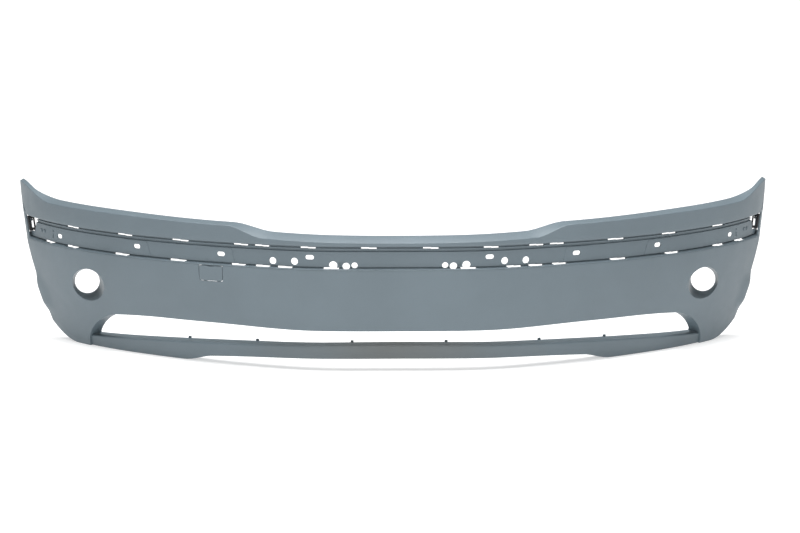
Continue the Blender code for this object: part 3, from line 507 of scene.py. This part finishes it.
def return_path(vert, share, kind):
    """Three points going inwards from a point of the lower edge."""
    spot = vert.co
    inwards = directions(plan_angle(math.copysign(min(abs(spot.x) * 1.03, HALF_WIDTH * 0.995), spot.x)))[1]
    if kind == "foot":
        narrow = smoothstep(0.90, 1.0, abs(share))
        reach, lift = mix(FOOT_FLANGE, 0.014, narrow), FOOT_FLANGE_LIFT
    else:
        reach, lift = (RETURN_END if kind == "end" else RETURN_TOP), 0.0
    steps = ((FOOT_FLAT, 0.0), (FOOT_FLAT + 0.003, lift), (reach, lift))
    return [spot + inwards * across + Vector((0, 0, up)) for across, up in steps]


def slab(bm, side, shares, heights, insets, steps=16):
    """A slab that follows the skin between these shares, heights and insets."""
    (low, high), (near, far) = heights, insets
    profile = ((low, near), (high, near), (high, far), (low, far))
    spots = [side * mix(*shares, i / steps) for i in range(steps + 1)]
    add_rings(bm, [[place(spot * arch_angle(z), z, inset) for z, inset in profile] for spot in spots])


def arch_flange_point(side, z, back, inset):
    """A point on the wheel-arch edge: back runs rearwards along the skin, inset runs into the car."""
    angle = side * arch_angle(z)
    along, inwards = directions(angle)
    outer = place(angle, z, tuck(z, plan(angle)[0]) + flare(z, 1.0))
    return outer + along * (side * back) + inwards * inset


def arch_flange(bm, side):
    """A strip turned inwards along the wheel-arch edge, where the arch liner is screwed on."""
    outer, inner = -SKIN_STEP, -SKIN_STEP - WALL
    corners = ((outer, BURY), (outer, ARCH_FLANGE), (inner, ARCH_FLANGE), (inner, BURY))
    heights = [mix(*ARCH_FLANGE_Z, i / ARCH_STEPS) for i in range(ARCH_STEPS + 1)]
    add_rings(bm, [[arch_flange_point(side, z, *corner) for corner in corners] for z in heights])


def fog_axis(side):
    """Local Z runs backwards from the lamp hole's centre at depth 0."""
    return Matrix.Translation((side * FOG_X, FRONT_Y, FOG_Z)) @ DRILL


def fog_radius(depth):
    return FOG_RADIUS + (FOG_BACK - depth) * FOG_TAPER


def fog_cone(bm, side, grow, depths):
    near, far = depths
    spot = fog_axis(side) @ Matrix.Translation((0, 0, (near + far) / 2))
    add_cylinder(bm, spot, fog_radius(near) + grow, far - near, FOG_SEGMENTS, fog_radius(far) + grow)


def fog_seat(bm, side):
    """The flat ring that the lamp is fixed to."""
    spot = fog_axis(side) @ Matrix.Translation((0, 0, FOG_BACK - WALL / 2))
    add_cylinder(bm, spot, FOG_RADIUS + FOG_SEAT_WIDTH, WALL, FOG_SEGMENTS)


def fog_ear(bm, side):
    """An ear beside that ring, for the lamp's screw."""
    spot = fog_axis(side) @ Matrix.Translation((-side * FOG_EAR_X, 0, FOG_BACK - WALL / 2))
    add_box(bm, spot, (*FOG_EAR_SIZE, WALL - 0.0002))


def end_strip(bm, side):
    """The upright strip outside the end window."""
    slab(bm, side, END_STRIP, END_STRIP_Z, (SKIN_STEP, WALL + SKIN_STEP))


def behind_skin(bm, side):
    """Everything behind the outer face round a lamp hole, which trims the collar to the skin."""
    rings = []
    inner, outer, half = COLLAR_ROOM
    rear = FRONT_Y + FOG_BACK + 0.10
    for i in range(9):
        x = side * mix(FOG_X - inner, FOG_X + outer, i / 8)
        heights = [mix(FOG_Z + half, FOG_Z - half, k / 6) for k in range(7)]
        face = [surface_point(x, z, COLLAR_TRIM) for z in heights]
        rings.append(face + [Vector((p.x, rear, p.z)) for p in reversed(face)])
    add_rings(bm, rings)


def rail(bm):
    """The thin rail along the channel's upper groove."""
    slab(bm, 1, (-RAIL_SHARE, RAIL_SHARE), RAIL_Z, (RAIL_INSET, CHANNEL_DEPTH + BURY), RAIL_STEPS)


def crease(bm):
    slab(bm, 1, (-CREASE_SHARE, CREASE_SHARE), CREASE_Z, CREASE_INSETS, CREASE_STEPS)


def panels(bm):
    """Thin raised panels on the band round the outer rounded slots."""
    heights = (BAND_Z[0] + PAD_MARGIN, BAND_Z[1] - PAD_MARGIN)
    for side in (-1, 1):
        for x, _ in OBROUNDS[1:3]:
            around = [plan_angle(x + step * PAD_SIZE / 2) / arch_angle(PAD_SHARE_Z) for step in (-1, 1)]
            slab(bm, side, around, heights, (BAND_DEPTH - PAD_RISE, BAND_DEPTH + BURY), 6)


def cut_details(bm):
    """Keyholes near the channel's ends, and a pocket between the plug holes."""
    for side in (-1, 1):
        z, radius = KEYHOLE_DOT
        add_cylinder(bm, local_frame(side * KEYHOLE_X, z, HOLE_INSET) @ DRILL, radius, HOLE_DEPTH, 20)
        low, high = KEYHOLE_SLOT_Z
        spot = local_frame(side * KEYHOLE_X, (low + high) / 2, HOLE_INSET)
        add_box(bm, spot, (KEYHOLE_WIDTH, HOLE_DEPTH, high - low))
        low, high = RECESS_Z
        spot = local_frame(side * sum(RECESS_X) / 2, (low + high) / 2, BAND_DEPTH)
        add_box(bm, spot, (RECESS_X[1] - RECESS_X[0], RECESS_CUT, high - low))


def build_skin():
    skin = solidify(mesh_object("skin_shape", build_sheet))
    boolean(skin, mesh_object("rail", rail), "UNION")
    boolean(skin, mesh_object("panels", panels), "UNION")
    boolean(skin, mesh_object("crease", crease), "DIFFERENCE")
    for side, tag in ((-1, "left"), (1, "right")):
        flange = mesh_object(f"arch_flange_{tag}", lambda bm: arch_flange(bm, side))
        strip = mesh_object(f"end_strip_{tag}", lambda bm: end_strip(bm, side))
        collar = mesh_object(f"fog_collar_{tag}", lambda bm: fog_cone(bm, side, WALL, COLLAR_DEPTHS))
        trim = mesh_object(f"behind_skin_{tag}", lambda bm: behind_skin(bm, side))
        boolean(collar, trim, "INTERSECT")
        seat = mesh_object(f"fog_seat_{tag}", lambda bm: fog_seat(bm, side))
        ear = mesh_object(f"fog_ear_{tag}", lambda bm: fog_ear(bm, side))
        hole = mesh_object(f"fog_hole_{tag}", lambda bm: fog_cone(bm, side, 0.0, FOG_HOLE_DEPTHS))
        for piece in (flange, strip, collar, seat, ear):
            boolean(skin, piece, "UNION")
        boolean(skin, hole, "DIFFERENCE")
    for name, build in (
        ("slot_cutters", cut_slots), ("hole_cutters", cut_holes), ("detail_cutters", cut_details),
        ("window_cutters", cut_windows), ("flap_opening", lambda bm: flap_prism(bm, FLAP_GAP)),
        ("bar_pockets", cut_bar_pockets), ("nut_bores", lambda bm: nut_bores(bm, "arch")),
    ):
        boolean(skin, mesh_object(name, build), "DIFFERENCE")
    boolean(skin, mesh_object("flap_stops", flap_stops), "UNION")
    boolean(skin, mesh_object("bar_tabs", build_tabs), "UNION")
    boolean(skin, mesh_object("screw_holes", screw_holes), "DIFFERENCE")
    return skin


# ---- holes in the skin ---------------------------------------------------------------------------
def slot_length(x):
    return mix(*SLOT_LENGTH, smoothstep(0.34, 0.48, x))


def cut_slots(bm):
    """The clip slots in the channel's two grooves, each with a small step halfway."""
    rows = ((UPPER_SLOT_X, UPPER_SLOT_Z, UPPER_SLOT_CUT), (LOWER_SLOT_X, LOWER_SLOT_Z, LOWER_SLOT_CUT))
    for side in (-1, 1):
        for places, (low, high), (inset, depth) in rows:
            half, end = (high - low) / 2, SLOT_STEP
            for x in places:
                reach = slot_length(x) / 2
                outline = (
                    (-reach, -half + end), (0, -half + end), (0, -half), (reach, -half),
                    (reach, half - end), (0, half - end), (0, half), (-reach, half),
                )
                spot = local_frame(side * x, (low + high) / 2, inset)
                ends = (-depth / 2, depth / 2)
                add_rings(bm, [[spot @ Vector((u, v, w)) for u, w in outline] for v in ends])


def add_obround(bm, matrix, size, depth):
    """A rounded slot through the local Y: a prism whose outline has half-round ends."""
    length, height = size
    straight, radius, turns = (length - height) / 2, height / 2, 10
    outline = []
    for end in (1, -1):
        for i in range(turns + 1):
            angle = math.radians(-90 + 180 * i / turns)
            outline.append((end * (straight + radius * math.cos(angle)), end * radius * math.sin(angle)))
    add_rings(bm, [[matrix @ Vector((x, y, z)) for x, z in outline] for y in (-depth / 2, depth / 2)])


def cut_holes(bm):
    """Round and obround holes in the channel's floor."""
    for side in (-1, 1):
        for x, z in OBROUNDS:
            add_obround(bm, local_frame(side * x, z, HOLE_INSET), OBROUND_SIZE, HOLE_DEPTH)
        for x, z, radius in PLUG_HOLES:
            add_cylinder(bm, local_frame(side * x, z, HOLE_INSET) @ DRILL, radius, HOLE_DEPTH, 28)


def cut_windows(bm):
    """The opening and the slit at each end of the channel, just ahead of the wheel-arch edge."""
    openings = ((WINDOW_TOP, WINDOW_FOOT, WINDOW_Z), (SLIT_TOP, SLIT_FOOT, SLIT_Z))
    ahead, behind = WINDOW_CUT
    for side in (-1, 1):
        for tops, feet, (low, high) in openings:
            rings = []
            for top, foot in zip(tops, feet):
                corners = ((foot, low, ahead), (top, high, ahead), (top, high, behind), (foot, low, behind))
                rings.append([place(side * share * arch_angle(z), z, inset) for share, z, inset in corners])
            add_rings(bm, rings)


# ---- the lower bar -------------------------------------------------------------------------------
def bar_top(x):
    return BAR_TOP_Z - BAR_TOP_DROP * x * x


def bar_foot(x):
    arch = BAR_FOOT_Z - BAR_FOOT_DROP * abs(x) ** 3
    return max(0.0, arch) * (1 - smoothstep(*BAR_STEP_X, abs(x)))


def bar_rows(share):
    """(z, inset) round the bar's section, from the rear of its top to the rear of its lower flange."""
    angle = share * arch_angle(BAR_SHARE_Z)
    x = plan(angle)[0]
    top, foot = bar_top(x), bar_foot(x)
    edge = tuck(top, x) + BAR_SETBACK
    rear, front = BAR_TOP_FALL
    rows = [(top - rear, edge + BAR_TOP_DEPTH), (top - front, edge + BAR_ROUND * 2.2)]
    for step in range(BAR_ROUND_STEPS + 1):
        turn = math.radians(90 * step / BAR_ROUND_STEPS)
        z = top - BAR_ROUND * (1 - math.cos(turn))
        rows.append((z, tuck(z, x) + BAR_SETBACK + BAR_ROUND * (1 - math.sin(turn))))
    for t in BAR_FACE_ROWS:
        z = mix(top, foot + BAR_TOE, t)
        rows.append((z, tuck(z, x) + BAR_SETBACK + BAR_LEAN * t * t))
    z = foot + BAR_TOE
    rows.append((z, tuck(z, x) + BAR_SETBACK + BAR_LEAN))
    low = tuck(foot, x) + BAR_SETBACK + BAR_LEAN
    rows += [
        (foot, low + 0.001), (foot, low + 0.001 + FOOT_FLAT),
        (foot + FOOT_FLANGE_LIFT, low + 0.004 + FOOT_FLAT), (foot + FOOT_FLANGE_LIFT, low + FOOT_FLANGE),
    ]
    return angle, rows


def foot_flange_point(x, share):
    """A point in the middle of the flange along the bar's foot: share runs back to its free edge."""
    inset = tuck(bar_foot(x), abs(x)) + BAR_SETBACK + FOOT_FLANGE * share
    return place(plan_angle(x), bar_foot(x) + FOOT_FLANGE_LIFT + WALL / 2, inset)


def build_bar_sheet(bm):
    shares = [s for s in columns() if abs(s) < BAR_END - 0.004] + [-BAR_END, BAR_END]
    grid = []
    for share in sorted(shares):
        angle, rows = bar_rows(share)
        grid.append([bm.verts.new(place(angle, z, inset)) for z, inset in rows])
    add_sheet(bm, grid)


def cut_bar_pockets(bm):
    """Room for the upper 11 mm of the bar's ends behind the corners. Lower down the two still overlap."""
    clear = 0.0007
    for side in (-1, 1):
        rings = []
        for i in range(7):
            angle, rows = bar_rows(side * mix(0.745, BAR_END + 0.004, i / 6))
            top, foot = rows[0][0] + BAR_TOP_FALL[0] + clear, rows[5][0]
            front = [(z, inset - clear / 2) for z, inset in rows[2:5]]
            below = foot - 0.01
            outline = [(top, rows[1][1]), *front, (below, front[-1][1]), (below, 0.12), (top, 0.12)]
            rings.append([place(angle, z, inset) for z, inset in outline])
        add_rings(bm, rings)


def build_pegs(bm):
    """Hooks on the bar's top that hold the intake grille."""
    for side in (-1, 1):
        for x in PEG_X:
            z = bar_top(x)
            inset = tuck(z, x) + BAR_SETBACK + BAR_TOP_DEPTH - PEG_BACK
            add_box(bm, local_frame(side * x, z + PEG_LIFT, inset), PEG_SIZE)


def tab_rows(share):
    angle = share * arch_angle(BAR_SHARE_Z)
    x = plan(angle)[0]
    top = bar_top(x)
    low, high = top + GAP, top + GAP + WALL
    near, far = tuck(low, x) + TAB_INSETS[0], tuck(low, x) + BAR_SETBACK + TAB_INSETS[1]
    return [place(angle, z, inset) for z, inset in ((low, near), (high, near), (high, far), (low, far))]


def build_tabs(bm):
    """A foot inside each corner, over the bar's end, which the bar is screwed to."""
    for side in (-1, 1):
        add_rings(bm, [tab_rows(side * mix(*TAB_SHARES, i / 3)) for i in range(4)])


def screw_spots():
    """The screws' matrices: each stands on a tab, with its local Z up."""
    for side in (-1, 1):
        share = side * mix(*TAB_SHARES, 0.5)
        angle = share * arch_angle(BAR_SHARE_Z)
        x = plan(angle)[0]
        for back in SCREW_BACKS:
            spot = place(angle, bar_top(x) + GAP + WALL, tuck(bar_top(x), x) + BAR_SETBACK + back)
            yield Matrix.Translation(spot)


def screw_holes(bm):
    """Holes through the tabs and the bar's top under them."""
    for spot in screw_spots():
        add_cylinder(bm, spot, *SCREW_BORE, 24)


def build_bar():
    bar = solidify(mesh_object("bar_shape", build_bar_sheet))
    boolean(bar, mesh_object("grille_pegs", build_pegs), "UNION")
    boolean(bar, mesh_object("bar_screw_bores", screw_holes), "DIFFERENCE")
    boolean(bar, mesh_object("bar_nut_bores", lambda bm: nut_bores(bm, "undertray")), "DIFFERENCE")
    return bar


# ---- the towing-eye flap -------------------------------------------------------------------------
def flap_middle():
    return local_frame(FLAP_X, (FLAP_Z[0] + FLAP_Z[1]) / 2, 0.0)


def flap_prism(bm, grow):
    """The flap's outline, with two rounded lower corners, as a prism through the skin."""
    half, height = FLAP_WIDTH / 2 + grow, (FLAP_Z[1] - FLAP_Z[0]) / 2 + grow
    corner = FLAP_CORNER + grow
    outline = [(-half, height)]
    for side in (-1, 1):
        for i in range(5):
            turn = math.radians(22.5 * i if side < 0 else 90 - 22.5 * i)
            across = half - corner + corner * math.cos(turn)
            outline.append((side * across, -height + corner - corner * math.sin(turn)))
    outline.append((half, height))
    spot = flap_middle()
    add_rings(bm, [[spot @ Vector((x, y, z)) for x, z in outline] for y in FLAP_CUT])


def flap_patch(bm):
    """The piece of the skin's outer face that the flap is part of."""
    grid = []
    reach, foot = FLAP_PATCH
    for i in range(25):
        x = FLAP_X + mix(-reach, reach, i / 24)
        heights = [mix(LIP_LOW_Z - 0.0005, foot, k / 16) for k in range(17)]
        grid.append([bm.verts.new(surface_point(x, z)) for z in heights])
    add_sheet(bm, grid)


def flap_stops(bm):
    """Thin rims behind the skin that back the gap beside and over the flap."""
    profile = (  # away from the flap, and inwards
        (-0.0025, 0.0037), (0.0014, 0.0037), (0.0014, 0.0025),
        (0.0029, 0.0025), (0.0029, 0.0062), (-0.0025, 0.0062),
    )
    for side in (-1, 1):
        edge = FLAP_X + side * FLAP_WIDTH / 2
        heights = [mix(FLAP_Z[0] + 0.004, FLAP_Z[1] - 0.004, i / 8) for i in range(9)]
        add_rings(bm, [[surface_point(edge + side * out, z, deep) for out, deep in profile] for z in heights])
    places = [FLAP_X + mix(-0.021, 0.021, i / 8) for i in range(9)]
    add_rings(bm, [[surface_point(x, FLAP_Z[1] + out, deep) for out, deep in profile] for x in places])


def flap_hinge():
    """The line that the flap tips about, along its lower outer edge."""
    return local_frame(FLAP_X, FLAP_Z[0] - HINGE_DROP, tuck(FLAP_Z[0], FLAP_X) - HINGE_OUT)


def flap_pair(bm, plate, profile):
    """Two upright plates behind the flap, one to either side, from their outline seen from the side."""
    spot = flap_hinge()
    middle, half = plate
    for x in (-middle, middle):
        add_rings(bm, [[spot @ Vector((edge, y, z)) for y, z in profile] for edge in (x - half, x + half)])


def flap_hooks(bm):
    """Two hooks that reach behind the skin under the flap."""
    flap_pair(bm, HOOK_X, (
        (0.0008, 0.0035), (0.0063, 0.0035), (0.0063, -0.0060),
        (0.0085, -0.0060), (0.0085, 0.0085), (0.0008, 0.0085),
    ))


def flap_ribs(bm):
    """Two ribs that guide the flap shut."""
    flap_pair(bm, RIB_X, ((-0.0004, 0.0130), (0.0090, 0.0150), (0.0090, 0.0290), (-0.0010, 0.0310)))


def pry_notch(bm):
    """The notch over the flap that it is levered open by."""
    add_box(bm, flap_middle() @ Matrix.Translation((0, 0, (FLAP_Z[1] - FLAP_Z[0]) / 2)), PRY_NOTCH)


def build_flap():
    flap = solidify(mesh_object("flap_shape", flap_patch))
    boolean(flap, mesh_object("flap_outline", lambda bm: flap_prism(bm, 0.0)), "INTERSECT")
    boolean(flap, mesh_object("flap_hook_shapes", flap_hooks), "UNION")
    boolean(flap, mesh_object("flap_rib_shapes", flap_ribs), "UNION")
    boolean(flap, mesh_object("pry_notch", pry_notch), "DIFFERENCE")
    return flap


# ---- bores for the clip nuts ---------------------------------------------------------------------
def nut_frame(edge, deeper):
    """A clip nut's matrix from three points along its flange's free edge and a point on the flange."""
    x_axis = (edge[2] - edge[0]).normalized()
    y_axis = deeper - edge[1]
    y_axis = (y_axis - x_axis * y_axis.dot(x_axis)).normalized()
    spot = edge[1] + y_axis * (NUT_REACH * NUT_SEAT - GAP - NUT_SLACK)
    return Matrix.Translation(spot) @ Matrix((x_axis, y_axis, x_axis.cross(y_axis))).transposed().to_4x4()


def nut_spots():
    """(flange, matrix) of every clip nut: local Y points from its flange's edge into it, Z to its boss."""
    steps = (-NUT_STEP, 0.0, NUT_STEP)
    middle = -SKIN_STEP - WALL / 2
    for side in (-1, 1):
        for x in BAR_NUT_X:
            edge = [foot_flange_point(x * side - step, 1.0) for step in steps]
            yield "undertray", nut_frame(edge, foot_flange_point(x * side, 0.6))
        for z in ARCH_NUT_Z:
            edge = [arch_flange_point(side, z - step * side, middle, ARCH_FLANGE) for step in steps]
            yield "arch", nut_frame(edge, arch_flange_point(side, z, middle, ARCH_FLANGE / 2))


def nut_bores(bm, wanted):
    """Holes through a flange at its clip nuts."""
    for flange, spot in nut_spots():
        if flange == wanted:
            add_cylinder(bm, spot, *NUT_BORE, 12)


# ---- finishing -----------------------------------------------------------------------------------
def finished(name, shape, finish):
    """The evaluated shape as a plain mesh, with rounded shading between its sharp edges."""
    bpy.context.view_layer.update()
    graph = bpy.context.evaluated_depsgraph_get()
    mesh = bpy.data.meshes.new_from_object(shape.evaluated_get(graph))
    mesh.materials.clear()
    mesh.materials.append(finish)
    mesh.shade_smooth()
    mesh.set_sharp_from_angle(angle=math.radians(SHARP_ANGLE))
    obj = bpy.data.objects.new(name, mesh)
    bpy.context.collection.objects.link(obj)
    weights = obj.modifiers.new("normals", "WEIGHTED_NORMAL")
    weights.keep_sharp = True
    return obj


def clear_helpers():
    for obj in helpers:
        bpy.data.objects.remove(obj, do_unlink=True)


class Nodes:
    """A material's node tree, built a line at a time."""

    def __init__(self, name):
        self.material = bpy.data.materials.new(name)
        self.material.use_nodes = True
        self.tree = self.material.node_tree
        self.shader = self.tree.nodes["Principled BSDF"]
        self.place = self.add("ShaderNodeTexCoord").outputs["Object"]

    def add(self, kind, **values):
        node = self.tree.nodes.new(kind)
        for key, value in values.items():
            setattr(node, key, value)
        return node

    def link(self, output, target):
        self.tree.links.new(output, target)

    def noise(self, scale, detail=3.0, roughness=0.5, stretch=(1, 1, 1)):
        mapping = self.add("ShaderNodeMapping")
        mapping.inputs["Scale"].default_value = stretch
        self.link(self.place, mapping.inputs["Vector"])
        made = self.add("ShaderNodeTexNoise")
        made.inputs["Scale"].default_value = scale
        made.inputs["Detail"].default_value = detail
        made.inputs["Roughness"].default_value = roughness
        self.link(mapping.outputs["Vector"], made.inputs["Vector"])
        return made.outputs["Fac"]

    def ramp(self, value, stops):
        made = self.add("ShaderNodeValToRGB")
        edges = made.color_ramp.elements
        while len(edges) < len(stops):
            edges.new(0.5)
        for edge, (where, colour) in zip(edges, stops):
            edge.position = where
            edge.color = (*colour, 1) if isinstance(colour, tuple) else (colour, colour, colour, 1)
        self.link(value, made.inputs["Fac"])
        return made.outputs["Color"]

    def blend(self, factor, first, second, mode="MIX"):
        """Two colours mixed by a factor. Sockets 6 and 7 are the node's colours, and output 2 its result."""
        made = self.add("ShaderNodeMix", data_type="RGBA", blend_type=mode)
        for value, socket in ((factor, made.inputs[0]), (first, made.inputs[6]), (second, made.inputs[7])):
            if isinstance(value, (int, float)):
                socket.default_value = value
            elif isinstance(value, tuple):
                socket.default_value = (*value, 1)
            else:
                self.link(value, socket)
        return made.outputs[2]

    def bump(self, *layers):
        """Stacked bumps from (height, distance in metres)."""
        last = None
        for height, distance in layers:
            made = self.add("ShaderNodeBump")
            made.inputs["Strength"].default_value = 1.0
            made.inputs["Distance"].default_value = distance
            self.link(height, made.inputs["Height"])
            if last is not None:
                self.link(last, made.inputs["Normal"])
            last = made.outputs["Normal"]
        self.link(last, self.shader.inputs["Normal"])


def primer(name, base, warm=0.0):
    """Sprayed grey-blue primer on moulded plastic: fine orange peel, faint clouds and a satin gloss."""
    made = Nodes(name)
    clouds = made.noise(scale=5.0, detail=4.0, roughness=0.55)
    pale = tuple(c * 1.05 for c in base)
    deep = tuple(c * 0.95 for c in base)
    colour = made.ramp(clouds, ((0.35, deep), (0.65, pale)))
    specks = made.ramp(made.noise(1400.0, 1.0), ((0.30, 0.93), (0.62, 1.0)))
    colour = made.blend(1.0, colour, specks, "MULTIPLY")
    if warm:
        colour = warm_middle(made, colour, warm)
    made.link(colour, made.shader.inputs["Base Color"])
    gloss = made.ramp(made.noise(38.0, 5.0, 0.6), ((0.3, 0.40), (0.7, 0.50)))
    made.link(gloss, made.shader.inputs["Roughness"])
    made.shader.inputs["IOR"].default_value = 1.48
    made.bump((made.noise(260.0, 2.0), 0.00006), (made.noise(1100.0, 2.0), 0.00002))
    return made.material


def warm_middle(made, colour, warm):
    """Thin primer in the bar's middle lets the darker, browner plastic through."""
    split = made.add("ShaderNodeSeparateXYZ")
    made.link(made.place, split.inputs["Vector"])
    away = made.add("ShaderNodeMath", operation="ABSOLUTE")
    made.link(split.outputs["X"], away.inputs[0])
    wavy = made.add("ShaderNodeMath", operation="MULTIPLY_ADD")
    made.link(made.noise(14.0, 4.0, 0.6), wavy.inputs[0])
    wavy.inputs[1].default_value = 0.16  # metres by which the edge wanders
    made.link(away.outputs[0], wavy.inputs[2])
    near = made.ramp(wavy.outputs[0], ((0.05, warm), (0.42, 0.0)))
    return made.blend(near, colour, WARM_COLOUR)


def moulded(name, base, rough):
    """Black moulded plastic with a fine spark-eroded grain."""
    made = Nodes(name)
    grain = made.noise(2600.0, 2.0, 0.7)
    colour = made.ramp(grain, ((0.3, tuple(c * 0.7 for c in base)), (0.7, base)))
    made.link(colour, made.shader.inputs["Base Color"])
    gloss = made.ramp(made.noise(60.0), ((0.3, rough - 0.06), (0.7, rough + 0.06)))
    made.link(gloss, made.shader.inputs["Roughness"])
    made.bump((grain, 0.00004))
    return made.material


def plated(name, base, rough):
    """Plated steel with a faint rolled grain and clouded plating."""
    made = Nodes(name)
    clouds = made.noise(240.0, 4.0, 0.6)
    colour = made.ramp(clouds, ((0.3, tuple(c * 0.8 for c in base)), (0.7, base)))
    made.link(colour, made.shader.inputs["Base Color"])
    grain = made.noise(900.0, 2.0, 0.5, stretch=(1.0, 1.0, 8.0))
    gloss = made.ramp(grain, ((0.3, rough - 0.08), (0.7, rough + 0.08)))
    made.link(gloss, made.shader.inputs["Roughness"])
    made.shader.inputs["Metallic"].default_value = 1.0
    made.bump((grain, 0.00002))
    return made.material


# ---- the object ----------------------------------------------------------------------------------
def dress_object():
    skin_primer = primer("skin_primer", SKIN_COLOUR)
    bar_primer = primer("bar_primer", BAR_COLOUR, BAR_WARMTH)
    black = moulded("black_plastic", PLASTIC_COLOUR, 0.45)
    zinc = plated("zinc_plate", ZINC_COLOUR, 0.36)
    black_steel = plated("black_steel", STEEL_COLOUR, 0.42)
    for name, build, finish, node, body, slot in (
        ("fine_skin", build_skin, skin_primer, "bumper_skin", "cover", "primed_skin"),
        ("fine_bar", build_bar, bar_primer, "lower_bar", "cover", "primed_bar"),
        ("fine_flap", build_flap, skin_primer, "tow_eye_flap", "flap", "primed_skin"),
    ):
        piece = finished(name, build(), finish)
        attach(piece, body)
        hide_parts(node)
    clear_helpers()
    for name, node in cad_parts.items():
        if "guide_rivet" in name:
            finish = skin_primer
        elif "end_guide" in name:
            finish = black
        elif "nut" in name:
            finish = zinc
        elif "screw" in name:
            finish = black_steel
        else:
            continue
        node.data.materials.clear()
        node.data.materials.append(finish)


# ---- the studio ----------------------------------------------------------------------------------
def build_floor():
    mesh = bpy.data.meshes.new("floor")
    bm = bmesh.new()
    bmesh.ops.create_grid(bm, x_segments=8, y_segments=8, size=FLOOR_REACH)
    bm.to_mesh(mesh)
    bm.free()
    floor = bpy.data.objects.new("floor", mesh)
    bpy.context.collection.objects.link(floor)
    floor.location.z = FLOOR_Z
    made = Nodes("floor_paint")
    shade = made.ramp(made.noise(0.8), ((0.3, FLOOR_SHADES[0]), (0.7, FLOOR_SHADES[1])))
    made.link(shade, made.shader.inputs["Base Color"])
    made.shader.inputs["Emission Color"].default_value = (1.0, 1.0, 1.0, 1)
    made.shader.inputs["Emission Strength"].default_value = FLOOR_GLOW
    made.shader.inputs["Roughness"].default_value = 0.9
    made.shader.inputs["Specular IOR Level"].default_value = 0.1
    mesh.materials.append(made.material)
    floor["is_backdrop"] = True


def area_light(name, spot, target, size, watts):
    data = bpy.data.lights.new(name, "AREA")
    data.shape, data.size, data.size_y, data.energy = "RECTANGLE", *size, watts
    light = bpy.data.objects.new(name, data)
    bpy.context.collection.objects.link(light)
    light.location = spot
    light.rotation_euler = (Vector(target) - Vector(spot)).to_track_quat("-Z", "Y").to_euler()


def build_lights():
    world = bpy.data.worlds.new("studio")
    world.use_nodes = True
    background = world.node_tree.nodes["Background"]
    background.inputs["Color"].default_value = (1.0, 1.0, 1.0, 1)
    background.inputs["Strength"].default_value = WORLD_STRENGTH
    bpy.context.scene.world = world
    for name, spot, target, size, watts in LIGHTS:
        area_light(name, spot, target, size, watts)
    sun = bpy.data.objects.new("sky_light", bpy.data.lights.new("sky_light", "SUN"))
    bpy.context.collection.objects.link(sun)
    sun.data.energy = SUN_STRENGTH
    sun.data.angle = math.radians(SUN_SPREAD)
    sun.rotation_euler = (*(math.radians(tilt) for tilt in SUN_TILT), 0)


def build_camera():
    """Ten degrees above the cover and a little to its left, from far enough off to flatten it."""
    lift, turn = math.radians(CAMERA_LIFT), math.radians(CAMERA_TURN)
    away = Vector((-math.sin(turn) * math.cos(lift), -math.cos(turn) * math.cos(lift), math.sin(lift)))
    camera = bpy.data.objects.new("camera", bpy.data.cameras.new("camera"))
    bpy.context.collection.objects.link(camera)
    camera.location = CAMERA_TARGET + away * CAMERA_REACH
    aim = (-away).to_track_quat("-Z", "Y").to_matrix().to_4x4()
    camera.rotation_euler = (aim @ Matrix.Rotation(math.radians(CAMERA_ROLL), 4, "Z")).to_euler()
    camera.data.sensor_width = CAMERA_SENSOR
    camera.data.lens = CAMERA_LENS
    camera.data.shift_y = CAMERA_SHIFT
    bpy.context.scene.camera = camera


def main():
    bpy.context.scene.view_settings.view_transform = "Standard"
    build_camera()
    build_lights()
    build_floor()
    dress_object()


main()
boxes = {"cad": cad_box, "visual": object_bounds()}
{name: [list(corner) for corner in box] for name, box in boxes.items()}
